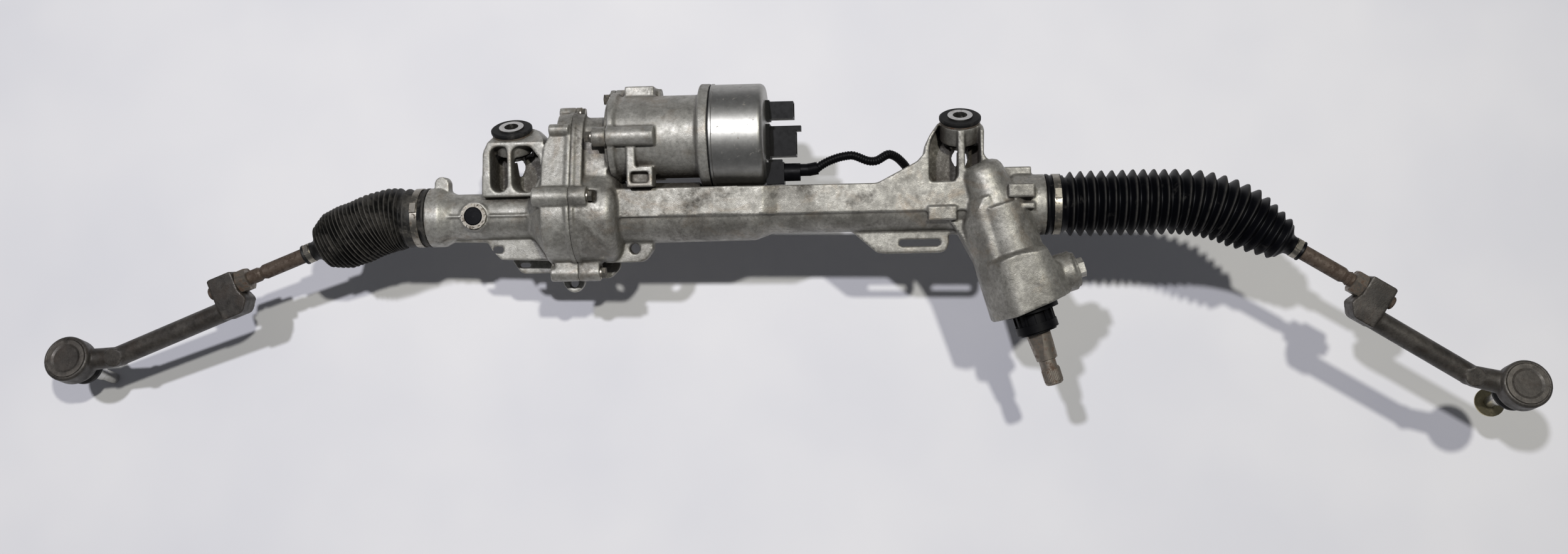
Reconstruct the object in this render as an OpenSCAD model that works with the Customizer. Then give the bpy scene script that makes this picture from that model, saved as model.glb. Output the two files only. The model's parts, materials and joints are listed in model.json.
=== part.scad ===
// Electric power steering rack with both tie rods.
// Everything is drawn along the rack: x runs along the bar, y up the face of the casting
// and z out of that face. place() turns the whole so that +Z runs along the mounting bolts
// and the middle of the left bush is the origin.

/* [Mounting] */
// Distance between the two mounting bushes
bush_pitch = 456; // [450:1:462]
// How far the bolt line lies behind the rack bar
bolt_offset = 36; // [34:1:38]
// Height of the middle of a bush above the rack bar
bush_height = 67; // [65:1:69]
// Length of a bush sleeve
sleeve_len = 35; // [33:1:37]
// Bore of a bush sleeve for the mounting bolt
bolt_bore = 14.5; // [12.5:0.5:15.5]
// Diameter of the cast barrel round a bush
barrel_d = 40; // [39:0.5:42]
// Angle between the bolts and the normal of the casting's face
face_tilt = 60; // [55:1:65]

/* [Rack] */
// Diameter of the rack bar
rack_d = 26; // [25:0.5:26.5]
// Distance between the two inner ball centres
ball_span = 837; // [830:1:845]
// Travel of the rack from stop to stop
travel = 132; // [120:2:134]
// Tooth module of rack and pinion
tooth_module = 2; // [1.9:0.05:2.1]
// Number of pinion teeth
pinion_teeth = 8; // [8:1:9]
// Lead of the ball screw
screw_lead = 7; // [6:0.5:8]

/* [Housing] */
// Outer diameter of the rack tube
tube_d = 47; // [46:0.5:50]
// Bore of the rack tube
tube_bore = 34; // [32:0.5:36]
// Distance from the left bush to the joint of the two castings
split_x = 66; // [64:1:68]
// Radius of the gear casing round the rack
dome_r = 50; // [49:0.5:53]
// Width of the toothed belt
belt_w = 15; // [13:1:16]
// Wall thickness of the gear casing
casing_wall = 7; // [6:0.5:8]

/* [Motor] */
// Height of the motor shaft above the rack bar
motor_y = 77; // [75:1:80]
// Diameter of the cast motor body
motor_d = 84; // [82:1:88]
// Length of the cast motor body
motor_len = 101; // [99:1:105]
// Diameter of the control unit's steel cover
can_d = 103; // [100:1:106]
// Length of the control unit's steel cover
can_len = 53.5; // [50:0.5:56]

/* [Pinion tower] */
// Distance from the left bush to the pinion mesh
pinion_x = 492; // [490:1:494]
// Slant of the pinion shaft from square to the rack
pinion_slant = 16.5; // [14:0.5:18]
// Radius of the upper tower
tower_r = 30; // [29:0.5:31]
// Distance from the mesh to the open end of the tower
tower_len = 110; // [108:1:114]
// Distance from the mesh to the end of the input shaft
shaft_len = 187; // [182:1:192]

/* [Tie rods] */
// Droop of the left tie rod at rest
left_droop = 21; // [15:1:25]
// Droop of the right tie rod at rest
right_droop = 31.5; // [25:0.5:31.5]
// Length of the left tie rod from its ball
left_rod_len = 210; // [206:1:214]
// Length of the right tie rod from its ball
right_rod_len = 203; // [200:1:207]
// Distance from the left ball to the left rod end
left_end_start = 176; // [172:1:178]
// Distance from the right ball to the right rod end
right_end_start = 169; // [166:1:172]
// Diameter of a tie rod
rod_d = 15.5; // [14.5:0.5:16]
// Radius of an inner tie rod ball
inner_ball_r = 13; // [12.5:0.25:13.25]
// Radius of an outer ball stud's ball
stud_ball_r = 11; // [10.5:0.25:11.5]
// Lean of the ball studs from the normal of the casting's face
stud_lean = 18; // [12:1:22]

/* [Gaiters] */
// Number of folds in a gaiter
folds = 22; // [18:1:24]
// Outer radius of a fold
fold_r = 33.5; // [33:0.5:35]
// Depth of a fold
fold_depth = 5.5; // [4.5:0.5:6.5]

/* [Hidden] */
$fn = 64;

// Clearances: a running fit, a seat within one body, and an open gap
run = 0.05;
seat = 0.1;
gap = 0.3;

// Colours of the castings, rubber, plastic, steel and forgings
cast_grey = [0.62, 0.61, 0.58];
rubber_black = [0.09, 0.09, 0.1];
plastic_black = [0.12, 0.12, 0.13];
steel_grey = [0.72, 0.72, 0.72];
forged_brown = [0.3, 0.27, 0.24];

// Radii that follow from the diameters
rack_r = rack_d / 2;
tube_r = tube_d / 2;
bore_r = tube_bore / 2;
motor_r = motor_d / 2;
can_r = can_d / 2;
barrel_r = barrel_d / 2;
rod_r = rod_d / 2;
thread_r = 6.9;

// Inner tie rod joints: how far the socket reaches inboard and outboard of the ball centre
socket_in = 18;
socket_out = 6;
socket_r = 18.5;
rod_clear = 0.06;
max_swing = 32;

// Housing ends, bellows seats and their shoulders
seat_r = 26.5;
shoulder_r = 30.5;
left_end = -112.7;
left_shoulder = left_end + 24.7;
left_ball_x = left_end - socket_in - gap;
right_ball_x = left_ball_x + ball_span;
right_shoulder = pinion_x + 47;
right_end = right_shoulder + 16.7;

// Gear casing: the belt runs inside the left casting
belt_x1 = split_x + 5;
belt_x0 = belt_x1 - belt_w;
nut_teeth = 72;
motor_teeth = 28;
belt_pitch = 3.1;
nut_pulley_r = nut_teeth * belt_pitch / 360 * 57.2958;
motor_pulley_r = motor_teeth * belt_pitch / 360 * 57.2958;
belt_t = 2.4;
casing_x0 = split_x - 22.5 - casing_wall;
chamber_r = dome_r - casing_wall - 1;
motor_z = 4;
neck_r = motor_pulley_r + belt_t + casing_wall + 3;

// Ball nut and its bearing
nut_r = 23.9;
nut_bore_r = rack_r + 0.4;
bearing_r = 40;
bearing_x0 = belt_x1 + 4.5;
bearing_x1 = bearing_x0 + 14.5;
nut_x0 = belt_x0 - 1;
nut_x1 = bearing_x1 + 14;

// Motor stations along x
motor_x0 = split_x + 39;
motor_x1 = motor_x0 + motor_len;
can_x0 = motor_x1 + 1.5;
can_x1 = can_x0 + can_len;
motor_shaft_r = 6;
motor_bearing_r = 13;

// Lugs of the casing joint as [y, z, radius, left end, right end]
casing_lugs = [[17, 46, 10, 29, 84], [-60, 4, 8.5, 37, 88],
  [motor_y + 26.6, 0, 6.4, 49, 70], [20, -46, 9, 38, 82]];
casing_screw_r = 3.9;

// Lugs of the motor flange, as angles about the motor shaft from +y towards +z
motor_lugs = [92, -20, 222];
motor_lug_r = 9.7;
motor_lug_back = [14, 5, 14];
motor_lug_at = 44;
motor_screw_r = 3.9;
screw_seat_r = 6.8;

// Pinion stations along its own axis
pitch_r = tooth_module * pinion_teeth / 2;
pressure_angle = 25;
pinion_add = 1.0 * tooth_module;
rack_add = 0.62 * tooth_module;
root_gap = 0.2 * tooth_module;
rack_flat = 9;
pinion_z = rack_flat - rack_add + pitch_r;
tooth_pitch = PI * tooth_module;
tooth_play = 0.16;
teeth_half = 18;
tower_top = -45;
box_start = 66;
sensor_start = 38;
sensor_r = 24;
cap_r = 26.8;
cap_depth = 3.5;
sleeve_s0 = tower_len + 24;
sleeve_s1 = min(tower_len + 51, shaft_len - 18);
torsion_r = 3.5;

// Tie rod and rod end stations along the rod, from the inner ball centre
small_cuff_start = 86;
small_cuff_len = 14;
nut_t = 12;
nut_af = 22;
block_len = 28;
arm_offset = 21.6;
arm_r = 11.3;
housing_r = 24;
housing_h = 32;
cap_rim_r = 20;
stud_thread_end = 80;
stud_nut_at = 74;

// Where the outer ball centres lie
left_stud_at = [-478, -143.5, 1];
right_stud_at = [1001, -190, 1];

// Gaiter cuffs
cuff_r = 29.2;
rubber_t = 1.1;
sides = 24;

// The sensor lead's route behind the castings, from the cover's end and from the pinion
lead_r = 4.6;
LEAD_COVER = [[47.4, 40, 8], [50.4, 41, 8], [56, 44.8, 8.1], [63, 48.3, 8.5], [72.8, 51.6, 9],
  [82.6, 53.3, 9], [87.4, 53.2, 8.5], [92.2, 51.7, 8], [96.9, 49.7, 7], [101.8, 47.9, 6],
  [106.5, 47.3, 4.5], [111.4, 48.1, 2.5]];
LEAD_PINION = [[-114.7, 50.9, 0], [-109.7, 53.9, -3], [-105.8, 54.4, -6], [-100, 52, -11],
  [-95.1, 48, -16], [-90.1, 42.5, -22], [-84.5, 33, -29], [-78, 21, -35], [-70, 7, -39.5],
  [-61, -6, -42], [-50, -14, -43], [-38, -19, -44], [-26, -24, -45], [-14, -29, -46],
  [-3, -34, -46], [5, -38, -43], [9.6, -41, -36.6], [13.2, -44.9, -33.6],
  [14.5, -49.2, -33.24]];
function by_cover(p) = p + [can_x1, 0, 0];
function by_pinion(p) = p + [pinion_x, 0, 0];
lead_route = concat([for (p = LEAD_COVER) by_cover(p)], [for (p = LEAD_PINION) by_pinion(p)]);

function turned_arc(cx, cr, r, a0, a1, n = 8) =
  [for (i = [0:n]) [cr + r * sin(a0 + (a1 - a0) * i / n), cx + r * cos(a0 + (a1 - a0) * i / n)]];

// Outline of a belt round two circles, one on the rack and one on the motor shaft
function belt_outline(r1, r2, n = 28) =
  let (d = norm([motor_y, motor_z]), t = atan2(motor_z, motor_y), b = acos((r1 - r2) / d))
  concat(
    [for (i = [0:n]) let (a = t + b + (360 - 2 * b) * i / n) [r1 * cos(a), r1 * sin(a)]],
    [for (i = [0:n]) let (a = t - b + 2 * b * i / n)
      [motor_y + r2 * cos(a), motor_z + r2 * sin(a)]]);

// A polygon with its corners rounded to the radius in the third place of each point
function unit2(v) = v / norm(v);
function rounded(pts, n = 6) = [for (i = [0:len(pts) - 1])
  let (p = [pts[i][0], pts[i][1]],
    q = pts[(i + len(pts) - 1) % len(pts)], s = pts[(i + 1) % len(pts)],
    u = unit2([q[0], q[1]] - p), v = unit2([s[0], s[1]] - p), r = pts[i][2])
  each (r == 0 ? [p] :
    let (half = acos(u * v) / 2, m = unit2(u + v), c = p + m * r / sin(half),
      a0 = atan2((p + u * r / tan(half) - c)[1], (p + u * r / tan(half) - c)[0]),
      sweep = 180 - 2 * half,
      turn = u[0] * v[1] - u[1] * v[0] > 0 ? -1 : 1)
    [for (k = [0:n]) c + r * [cos(a0 + turn * sweep * k / n), sin(a0 + turn * sweep * k / n)]])];

// Involute pinion outline
function involute(a) = tan(a) - a * PI / 180;
function tooth_half(r) =
  90 / pinion_teeth - tooth_play / pitch_r * 90 / PI
  + (involute(pressure_angle) - involute(acos(min(1, pitch_r * cos(pressure_angle) / r)))) * 180 / PI;
function polar(r, a) = [r * cos(a), r * sin(a)];
function pinion_outline() =
  let (rb = pitch_r * cos(pressure_angle) + 0.01, rt = pitch_r + pinion_add,
    rr = pitch_r - rack_add - root_gap, n = 5)
  [for (k = [0:pinion_teeth - 1]) let (a = -90 + k * 360 / pinion_teeth)
    each concat([polar(rr, a - tooth_half(rb))],
      [for (i = [0:n]) let (r = rb + (rt - rb) * i / n) polar(r, a - tooth_half(r))],
      [for (i = [n:-1:0]) let (r = rb + (rt - rb) * i / n) polar(r, a + tooth_half(r))],
      [polar(rr, a + tooth_half(rb))])];

// Comb of the gaps between the rack teeth, to be cut from the bar
teeth_count = 2 * floor((travel / 2 + 24) / tooth_pitch) + 1;
function rack_gaps() =
  let (tip = rack_flat, pitch = pinion_z - pitch_r, root = pitch - pinion_add - root_gap,
    w = tooth_pitch / 4, k = tan(pressure_angle), top = rack_r + 3,
    first = -(teeth_count - 1) / 2, last = (teeth_count - 1) / 2)
  concat([[(first - 0.5) * tooth_pitch, top]],
    [for (i = [first:last]) each [
      [i * tooth_pitch - w - (tip - pitch) * k, tip],
      [i * tooth_pitch - w + (pitch - root) * k, root],
      [i * tooth_pitch + w - (pitch - root) * k, root],
      [i * tooth_pitch + w + (tip - pitch) * k, tip]]],
    [[(last + 0.5) * tooth_pitch, top]]);

// Outline of a toothed pulley
function pulley_outline(r, n) = [for (i = [0:n - 1]) let (a = 360 / n)
  each [polar(r, a * (i - 0.3)), polar(r, a * (i + 0.2)),
    polar(r - 1, a * (i + 0.28)), polar(r - 1, a * (i + 0.62))]];

module place()
  translate([0, -bolt_offset, -bush_height]) rotate([face_tilt, 0, 0]) children();
module upright(x) translate([x, 0, 0]) rotate([-face_tilt, 0, 0])
  translate([0, bolt_offset, 0]) children();
module turned(pts) rotate([0, 90, 0]) rotate_extrude() polygon(pts);
module along(x0, x1, r, y = 0, z = 0) translate([x0, y, z]) rotate([0, 90, 0])
  cylinder(h = x1 - x0, r = r);
module section(x0, x1) translate([x0, 0, 0]) rotate([90, 0, 90])
  linear_extrude(x1 - x0) children();
module slab(z0, z1) translate([0, 0, z0]) linear_extrude(z1 - z0) children();
module block(lo, hi) translate(lo) cube(hi - lo);
module on_pinion(x = pinion_x) translate([x, 0, pinion_z]) rotate([0, 0, pinion_slant])
  rotate([90, 0, 0]) children();
module hexagon(af, h) cylinder(h = h, d = af / cos(30), $fn = 6);
module at_motor_lug(a) translate([0, motor_y + motor_lug_at * cos(a),
  motor_z + motor_lug_at * sin(a)]) children();
// Drawn from the ball along +x; the left rod is mirrored to the other side
module on_left_rod() translate([left_ball_x, 0, 0]) rotate([0, 0, left_droop])
  mirror([1, 0, 0]) children();
module on_right_rod() translate([right_ball_x, 0, 0]) rotate([0, 0, -right_droop]) children();

// One mounting bush place: the casting's barrel and what is cut for it
barrel_top = bush_height + sleeve_len / 2 - 7;
barrel_len = 20;
module barrel(x) upright(x) translate([0, 0, barrel_top - barrel_len])
  cylinder(h = barrel_len, r = barrel_r);
module above_barrel(x) upright(x) translate([-60, -90, barrel_top]) cube([120, 180, 60]);
module barrel_cuts(x) upright(x) {
  translate([0, 0, bush_height - sleeve_len / 2 - 1.5])
    cylinder(h = sleeve_len, r = barrel_r - 2);
  cylinder(h = barrel_top, r = bolt_bore / 2 + 1.2);
}

// Left casting: bellows seat, tube, left half of the gear casing and the left mount
left_mount = [[-28.5, 19, 0], [-28, 32, 8], [-26.5, 64, 14], [-15, 88, 12], [22, 90, 12],
  [36, 76, 12], [40, 50, 12], [38, 19, 0]];
left_pockets = [[[-19, 24, 8.4], [-1.5, 24, 8.4], [-1.5, 70, 5], [-19, 70, 8]],
  [[3, 25, 9], [22, 22, 9], [34, 42, 6], [31, 58, 8], [22, 70, 8], [3, 70, 8]]];
left_skirt = [[-70, -18, 0], [-66, -26, 3], [-30, -27, 3], [-25, -36, 5], [-16, -45, 5],
  [40, -47, 0], [44, -18, 0]];
skirt_t = 5;
back_plate_left = [[-12, -32, 0], [-12, -46, 6], [-3, -60, 9], [split_x, -60, 0], [split_x, -32, 0]];
back_plate_right = [[split_x, -32, 0], [split_x, -64, 0], [92, -67, 10], [103, -56, 10],
  [103, -32, 0]];

module drive_housing() {
  color(cast_grey) difference() {
    union() {
      turned([[0, left_end], [seat_r, left_end], [seat_r, left_shoulder],
        [shoulder_r, left_shoulder], [shoulder_r, left_shoulder + 14],
        [tube_r, left_shoulder + 27], [tube_r, casing_x0 - 20], [tube_r + 3, casing_x0 - 15],
        [dome_r, casing_x0 + 2], [dome_r, split_x - 4], [dome_r + 1.5, split_x - 4],
        [dome_r + 1.5, split_x], [0, split_x]]);
      difference() {
        section(casing_x0, split_x) polygon(belt_outline(dome_r, neck_r));
        // Upper left face, sloping away from the mount
        slab(-80, 80) polygon([[casing_x0 - 5, 52], [casing_x0, 52], [casing_x0 + 1.5, 68],
          [casing_x0 + 7, 80], [casing_x0 + 14, 90], [casing_x0 + 14, 140], [casing_x0 - 5, 140]]);
      }
      along(casing_x0 + 7, split_x - 2, 5.8, 85, 30);
      section(split_x - 4, split_x) polygon(belt_outline(dome_r + 1.5, neck_r + 1.5));
      difference() {
        slab(-18, 26) polygon(rounded(left_mount));
        for (p = left_pockets) slab(-9, 27) polygon(rounded(p));
        above_barrel(0);
      }
      barrel(0);
      slab(-skirt_t / 2, skirt_t / 2) polygon(rounded(left_skirt));
      for (lug = casing_lugs) along(lug[3], split_x, lug[2], lug[0], lug[1]);
      block([38, -2, -46], [split_x, 22, -36]);
      block([42, -58, -6], [split_x, -40, 12]);
      // Port boss, locating ear and the rib along the tube
      translate([-37, 0, 0]) cylinder(h = 24.6, r = 15);
      translate([-74.5, 34, -4]) cylinder(h = 14, r = 7.6);
      block([-82.1, 10, -4], [-66.9, 34, 10]);
      block([-80, -1, 18], [-52, 1, 26]);
      block([-22, -1, 18], [casing_x0 - 14, 1, 26]);
      // Eye behind the casing
      slab(-26, -18) polygon(rounded([[43, -38, 0], [43, -72, 12], [55, -86, 10],
        [67, -72, 12], [64, -38, 0]]));
      block([44, -46, -26], [64, -30, 0]);
      slab(-32, -26) polygon(rounded(back_plate_left));
    }
    along(left_end - 1, split_x + 1, bore_r);
    section(belt_x0 - 2, split_x + 1) polygon(belt_outline(chamber_r, neck_r - casing_wall));
    barrel_cuts(0);
    for (lug = casing_lugs) along(split_x - 17, split_x + 1, casing_screw_r + seat, lug[0], lug[1]);
    // Slot in the skirt, bore of the port and hole of the eye
    slab(-skirt_t, skirt_t) polygon(rounded([[-24.5, -38, 3], [-13.5, -38, 3],
      [-13.5, -31, 3], [-24.5, -31, 3]]));
    translate([-37, 0, 0]) cylinder(h = 30, r = 9.4);
    translate([55, -71, -27]) cylinder(h = 20, r = 4.5);
    slab(-33, -25) polygon(rounded([[-4.5, -53.5, 2.2], [7.5, -53.5, 2.2], [7.5, -48.7, 2.2],
      [-4.5, -48.7, 2.2]]));
  }
}

// Right casting: right half of the gear casing, tube with its beam, right mount and tower
beam_low = -4.5;
beam_high = 24.5;
beam_z = 26;
right_mount_web = [[330, 10, 0], [338, beam_high, 0], [372, beam_high, 14], [412, 45.1, 10],
  [419, 53, 0], [424, 53, 0], [424, 10, 0]];
right_mount = [[414, 8, 0], [418, 50, 3], [420.5, 62, 6], [425, 71, 6], [434, 84, 5], [479, 84, 8],
  [478, 50, 8], [488, 39, 6], [496, 8, 0]];
right_pockets = [[[bush_pitch - 34.5, 23, 10], [bush_pitch - 3.5, 23, 10],
    [bush_pitch - 3.5, 110, 0], [bush_pitch - 21, 110, 0], [bush_pitch - 21, 82, 0],
    [bush_pitch - 30, 66, 5], [bush_pitch - 32.5, 52, 5]],
  [[bush_pitch + 3.5, 33, 4], [bush_pitch + 10, 28, 4], [bush_pitch + 19, 40, 7],
    [bush_pitch + 17.5, 110, 0], [bush_pitch + 3.5, 110, 0]]];
hanger = [[340, -15, 0], [346, -24, 8], [370, -45, 8], [378, -46.5, 6],
  [440, -46.5, 9], [443.5, -36, 6], [443, -15, 0]];
hanger_slot_len = 42;
hanger_slot_w = 6.7;
lug_hole_r = 5.4;

module tower_solid() on_pinion() {
  cylinder(h = box_start + 10, r = tower_r);
  translate([-6.5, 0, tower_top]) rotate([0, 5, 0]) rotate_extrude() polygon([[0, -1],
    [14, 0], [19, 3], [21.5, 8], [tower_r - 0.5, 72], [0, 72]]);
  intersection() {
    rotate_extrude() polygon([[0, -12], [tower_r - 1, -12], [52, 34], [52, tower_len], [0, tower_len]]);
    translate([0, 0, -13]) linear_extrude(tower_len + 13) polygon(rounded([[-40, -24, 6],
      [-8, -24, 0], [-8, 26, 0], [-24, 26, 12], [-40, 8, 12]]));
  }
  intersection() {
    rotate_extrude() polygon([[0, box_start - 18], [tower_r - 1, box_start - 18],
      [80, box_start + 12], [80, tower_len + 1], [0, tower_len + 1]]);
    translate([0, 0, box_start - 19]) linear_extrude(tower_len - box_start + 19) polygon(rounded([
      [-40, -34, 10], [30, -34, 16], [44, -20, 14], [44, 14, 16], [24, 35, 22], [-20, 35, 18],
      [-40, 8, 16]]));
    translate([0, 40, 0]) rotate([90, 0, 0]) linear_extrude(80) polygon(rounded([
      [-41, box_start - 20, 0], [-41, tower_len, 2], [-18, tower_len, 30],
      [45, tower_len - 7, 9], [45, box_start + 18, 8], [32.5, box_start, 8],
      [29, box_start - 20, 0]]));
  }
  translate([18, 0, 84]) rotate([0, 90, 0]) cylinder(h = 33, r = 20);
  translate([50, 0, 84]) rotate([0, 90, 0]) cylinder(h = 5, r = 17.5);
}
module tower_bores() on_pinion() {
  translate([0, 0, -38]) cylinder(h = 17, r = 11);
  translate([0, 0, -22]) cylinder(h = 46, r = pitch_r + pinion_add + 3);
  translate([0, 0, 22]) cylinder(h = sensor_start - 21, r = 17.6);
  translate([0, 0, sensor_start]) cylinder(h = tower_len, r = sensor_r);
  translate([0, 0, tower_len - cap_depth]) cylinder(h = 10, r = cap_r + seat);
  translate([46, 0, 84]) rotate([0, 90, 0]) cylinder(h = 12, r = 12.1);
  translate([0, 0, 75]) rotate([90, 0, 0]) cylinder(h = 50, r = 9.1);
}

module rack_housing() {
  color(cast_grey) difference() {
    union() {
      turned([[0, split_x], [dome_r + 1.5, split_x], [dome_r + 1.5, split_x + 4],
        [dome_r, split_x + 4], [dome_r - 1, nut_x1 - 1], [dome_r - 3, nut_x1 + 3],
        [dome_r - 7, nut_x1 + 6], [dome_r - 13, nut_x1 + 8], [tube_r + 7.5, nut_x1 + 9],
        [tube_r + 6.5, 248], [tube_r, 266], [tube_r, pinion_x + 8],
        [shoulder_r, pinion_x + 16], [shoulder_r, right_shoulder],
        [seat_r, right_shoulder], [seat_r, right_end], [0, right_end]]);
      section(split_x, split_x + 4) polygon(belt_outline(dome_r + 1.5, neck_r + 1.5));
      section(split_x, split_x + 12) polygon(belt_outline(dome_r, neck_r));
      section(split_x + 11, motor_x0 - 3) polygon(belt_outline(dome_r - 12, neck_r - 4.5));
      along(motor_x0 - 3.5, motor_x0, motor_r - 1, motor_y, motor_z);
      for (i = [0:2]) at_motor_lug(motor_lugs[i])
        along(motor_x0 - motor_lug_back[i], motor_x0, motor_lug_r);
      for (lug = casing_lugs) along(split_x, lug[4], lug[2], lug[0], lug[1]);
      block([split_x, -2, -46], [82, 22, -36]);
      block([split_x, -58, -6], [88, -40, 12]);
      // Beam along the front of the tube, with its raised pad
      translate([0, beam_high, 0]) rotate([90, 0, 0]) linear_extrude(beam_high - beam_low)
        polygon([[90, -8], [90, 34], [150, 34], [258, 31], [272, beam_z], [pinion_x, beam_z],
          [pinion_x, -8]]);
      block([422, -14, 10], [450, 0, beam_z + 2]);
      // Lug with its round hole, the hanger and the right mount
      slab(-6, 8) polygon(rounded([[90, -20, 0], [94, -50, 0], [134, -50, 12], [143, -38, 10],
        [145, -20, 0]]));
      slab(-skirt_t / 2, skirt_t / 2) polygon(rounded(hanger));
      slab(-32, -26) polygon(rounded(back_plate_right));
      slab(-skirt_t / 2, skirt_t / 2) polygon(rounded([[430, -18, 0], [430, -28, 0],
        [452, -28, 6], [460, -40, 0], [470, -18, 0]]));
      slab(6, beam_z) polygon(rounded(right_mount_web));
      difference() {
        slab(-18, beam_z) polygon(rounded(right_mount));
        for (p = right_pockets) slab(-9, beam_z + 1) polygon(rounded(p));
        above_barrel(bush_pitch);
      }
      barrel(bush_pitch);
      intersection() {
        slab(-9, beam_z) polygon([[bush_pitch - 2.8, 20], [bush_pitch + 2.8, 20],
          [bush_pitch + 2.8, 90], [bush_pitch - 2.8, 90]]);
        upright(bush_pitch) translate([-10, -90, -40]) cube([20, 90, barrel_top + 40]);
      }
      tower_solid();
      // Clip block on the tower and pad on top of the tube
      block([500, 6.5, 20], [526, 20, 43]);
      block([506, -4.5, 20], [526, 1.5, 39]);
      block([498, 12, -16], [526.5, 38.5, 4]);
      // Yoke boss behind the rack
      translate([pinion_x, 0, -48]) cylinder(h = 48, r = 22);
      slab(-24, 20) polygon([[444, -16], [454, -30], [476, -72], [500, -60], [500, -16]]);
    }
    along(nut_x1, right_end + 1, bore_r);
    along(split_x - 1, bearing_x1, bearing_r + seat);
    section(split_x - 1, belt_x1 + 2) polygon(belt_outline(chamber_r, neck_r - casing_wall));
    along(split_x - 1, nut_x1 + 1, nut_r + 3);
    along(split_x - 1, motor_x0 + 1, motor_shaft_r + 5, motor_y, motor_z);
    along(motor_x0 - 3, motor_x0 + 1, motor_bearing_r + 3, motor_y, motor_z);
    barrel_cuts(bush_pitch);
    for (lug = casing_lugs) {
      along(split_x - 1, lug[4] + 1, casing_screw_r + gap, lug[0], lug[1]);
      along(lug[4], lug[4] + 9, screw_seat_r, lug[0], lug[1]);
    }
    for (i = [0:2]) at_motor_lug(motor_lugs[i]) {
      along(motor_x0 - 15, motor_x0 + 1, motor_screw_r + gap);
      along(motor_x0 - 23, motor_x0 - motor_lug_back[i], screw_seat_r);
    }
    // Relief for the motor's flange, body and cover
    translate([0, motor_y, motor_z]) turned([[0, motor_x0], [motor_r + 4.8, motor_x0],
      [motor_r + 4.8, motor_x0 + 8], [motor_r + 0.8, motor_x0 + 10], [motor_r + 0.8, motor_x1 - 15],
      [can_r + 2.2, motor_x1 - 12], [can_r + 2.2, can_x1 + 4], [0, can_x1 + 4]]);
    for (a = motor_lugs) at_motor_lug(a) along(motor_x0, motor_x0 + 50, motor_lug_r + 0.6);
    translate([124, -36, -10]) cylinder(h = 30, r = lug_hole_r);
    slab(-skirt_t, skirt_t) polygon(rounded([
      [414 - hanger_slot_len / 2, -36 - hanger_slot_w / 2, 3.2],
      [414 + hanger_slot_len / 2, -36 - hanger_slot_w / 2, 3.2],
      [414 + hanger_slot_len / 2, -36 + hanger_slot_w / 2, 3.2],
      [414 - hanger_slot_len / 2, -36 + hanger_slot_w / 2, 3.2]]));
    tower_bores();
    translate([pinion_x, 0, -49]) cylinder(h = 49, r = 15.5);
    translate([pinion_x, 0, -49]) cylinder(h = 12, r = 17.6);
  }
}

// Mounting bushes: steel sleeve, rubber and pressed-in shell
module at_bushes() for (x = [0, bush_pitch]) upright(x) children();
module bush_sleeves() {
  color(steel_grey) at_bushes() translate([0, 0, bush_height - sleeve_len / 2]) difference() {
    union() {
      cylinder(h = sleeve_len, r = 10.4);
      translate([0, 0, sleeve_len - 1.2]) cylinder(h = 1.2, r = 12.5);
    }
    translate([0, 0, -1]) cylinder(h = sleeve_len + 2, d = bolt_bore);
  }
}
module bush_rubbers() {
  color(rubber_black) at_bushes() difference() {
    union() {
      translate([0, 0, barrel_top - barrel_len - 2]) cylinder(h = barrel_len + 4, r = barrel_r - 3.1);
      translate([0, 0, barrel_top + 1.5]) rotate_extrude() polygon([[0, 0], [barrel_r - 0.5, 0],
        [barrel_r + 1, 1], [barrel_r + 1, 3], [barrel_r - 0.5, 4], [0, 4]]);
    }
    cylinder(h = barrel_top + 20, r = 10.4 + seat);
  }
}
module bush_shells() {
  color(steel_grey) at_bushes() difference() {
    union() {
      translate([0, 0, barrel_top - barrel_len]) cylinder(h = barrel_len + 0.5, r = barrel_r - 2 - seat);
      translate([0, 0, barrel_top]) cylinder(h = 1.5, r = barrel_r + 0.3);
    }
    cylinder(h = barrel_top + 20, r = barrel_r - 3.1 + seat);
  }
}

// Closed inspection port of the left casting
module port_ring() {
  color(steel_grey) translate([-37, 0, 24.6]) difference() {
    cylinder(h = 4, r = 13);
    translate([0, 0, -1]) cylinder(h = 6, r = 9.4);
    for (a = [0:30:330]) rotate([0, 0, a]) translate([11, -1.4, 2.4]) cube([4, 2.8, 3]);
  }
}
module port_cap() {
  color(plastic_black) translate([-37, 0, 0]) {
    translate([0, 0, 17]) cylinder(h = 11, r = 9.3);
    translate([0, 0, 28]) rotate_extrude() polygon([[0, 0], [9.3, 0], [8.2, 0.8], [0, 1]]);
  }
}

module screw_x(x_head, len, r, af, head = 5) {
  along(x_head - len, x_head + 0.5, r);
  translate([x_head, 0, 0]) rotate([0, 90, 0]) cylinder(h = 1.4, r = af / 2 + 1.4);
  translate([x_head + 1.4, 0, 0]) rotate([0, 90, 0]) hexagon(af, head);
}
module housing_screws() {
  color(steel_grey) for (lug = casing_lugs) translate([0, lug[0], lug[1]])
    screw_x(lug[4], lug[4] - split_x + 16, casing_screw_r, 10, 4);
}
module motor_screws() {
  color(plastic_black) for (i = [0:2]) at_motor_lug(motor_lugs[i]) mirror([1, 0, 0])
    screw_x(motor_lug_back[i] - motor_x0, motor_lug_back[i] + 26, motor_screw_r, 10, 6);
}

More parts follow.
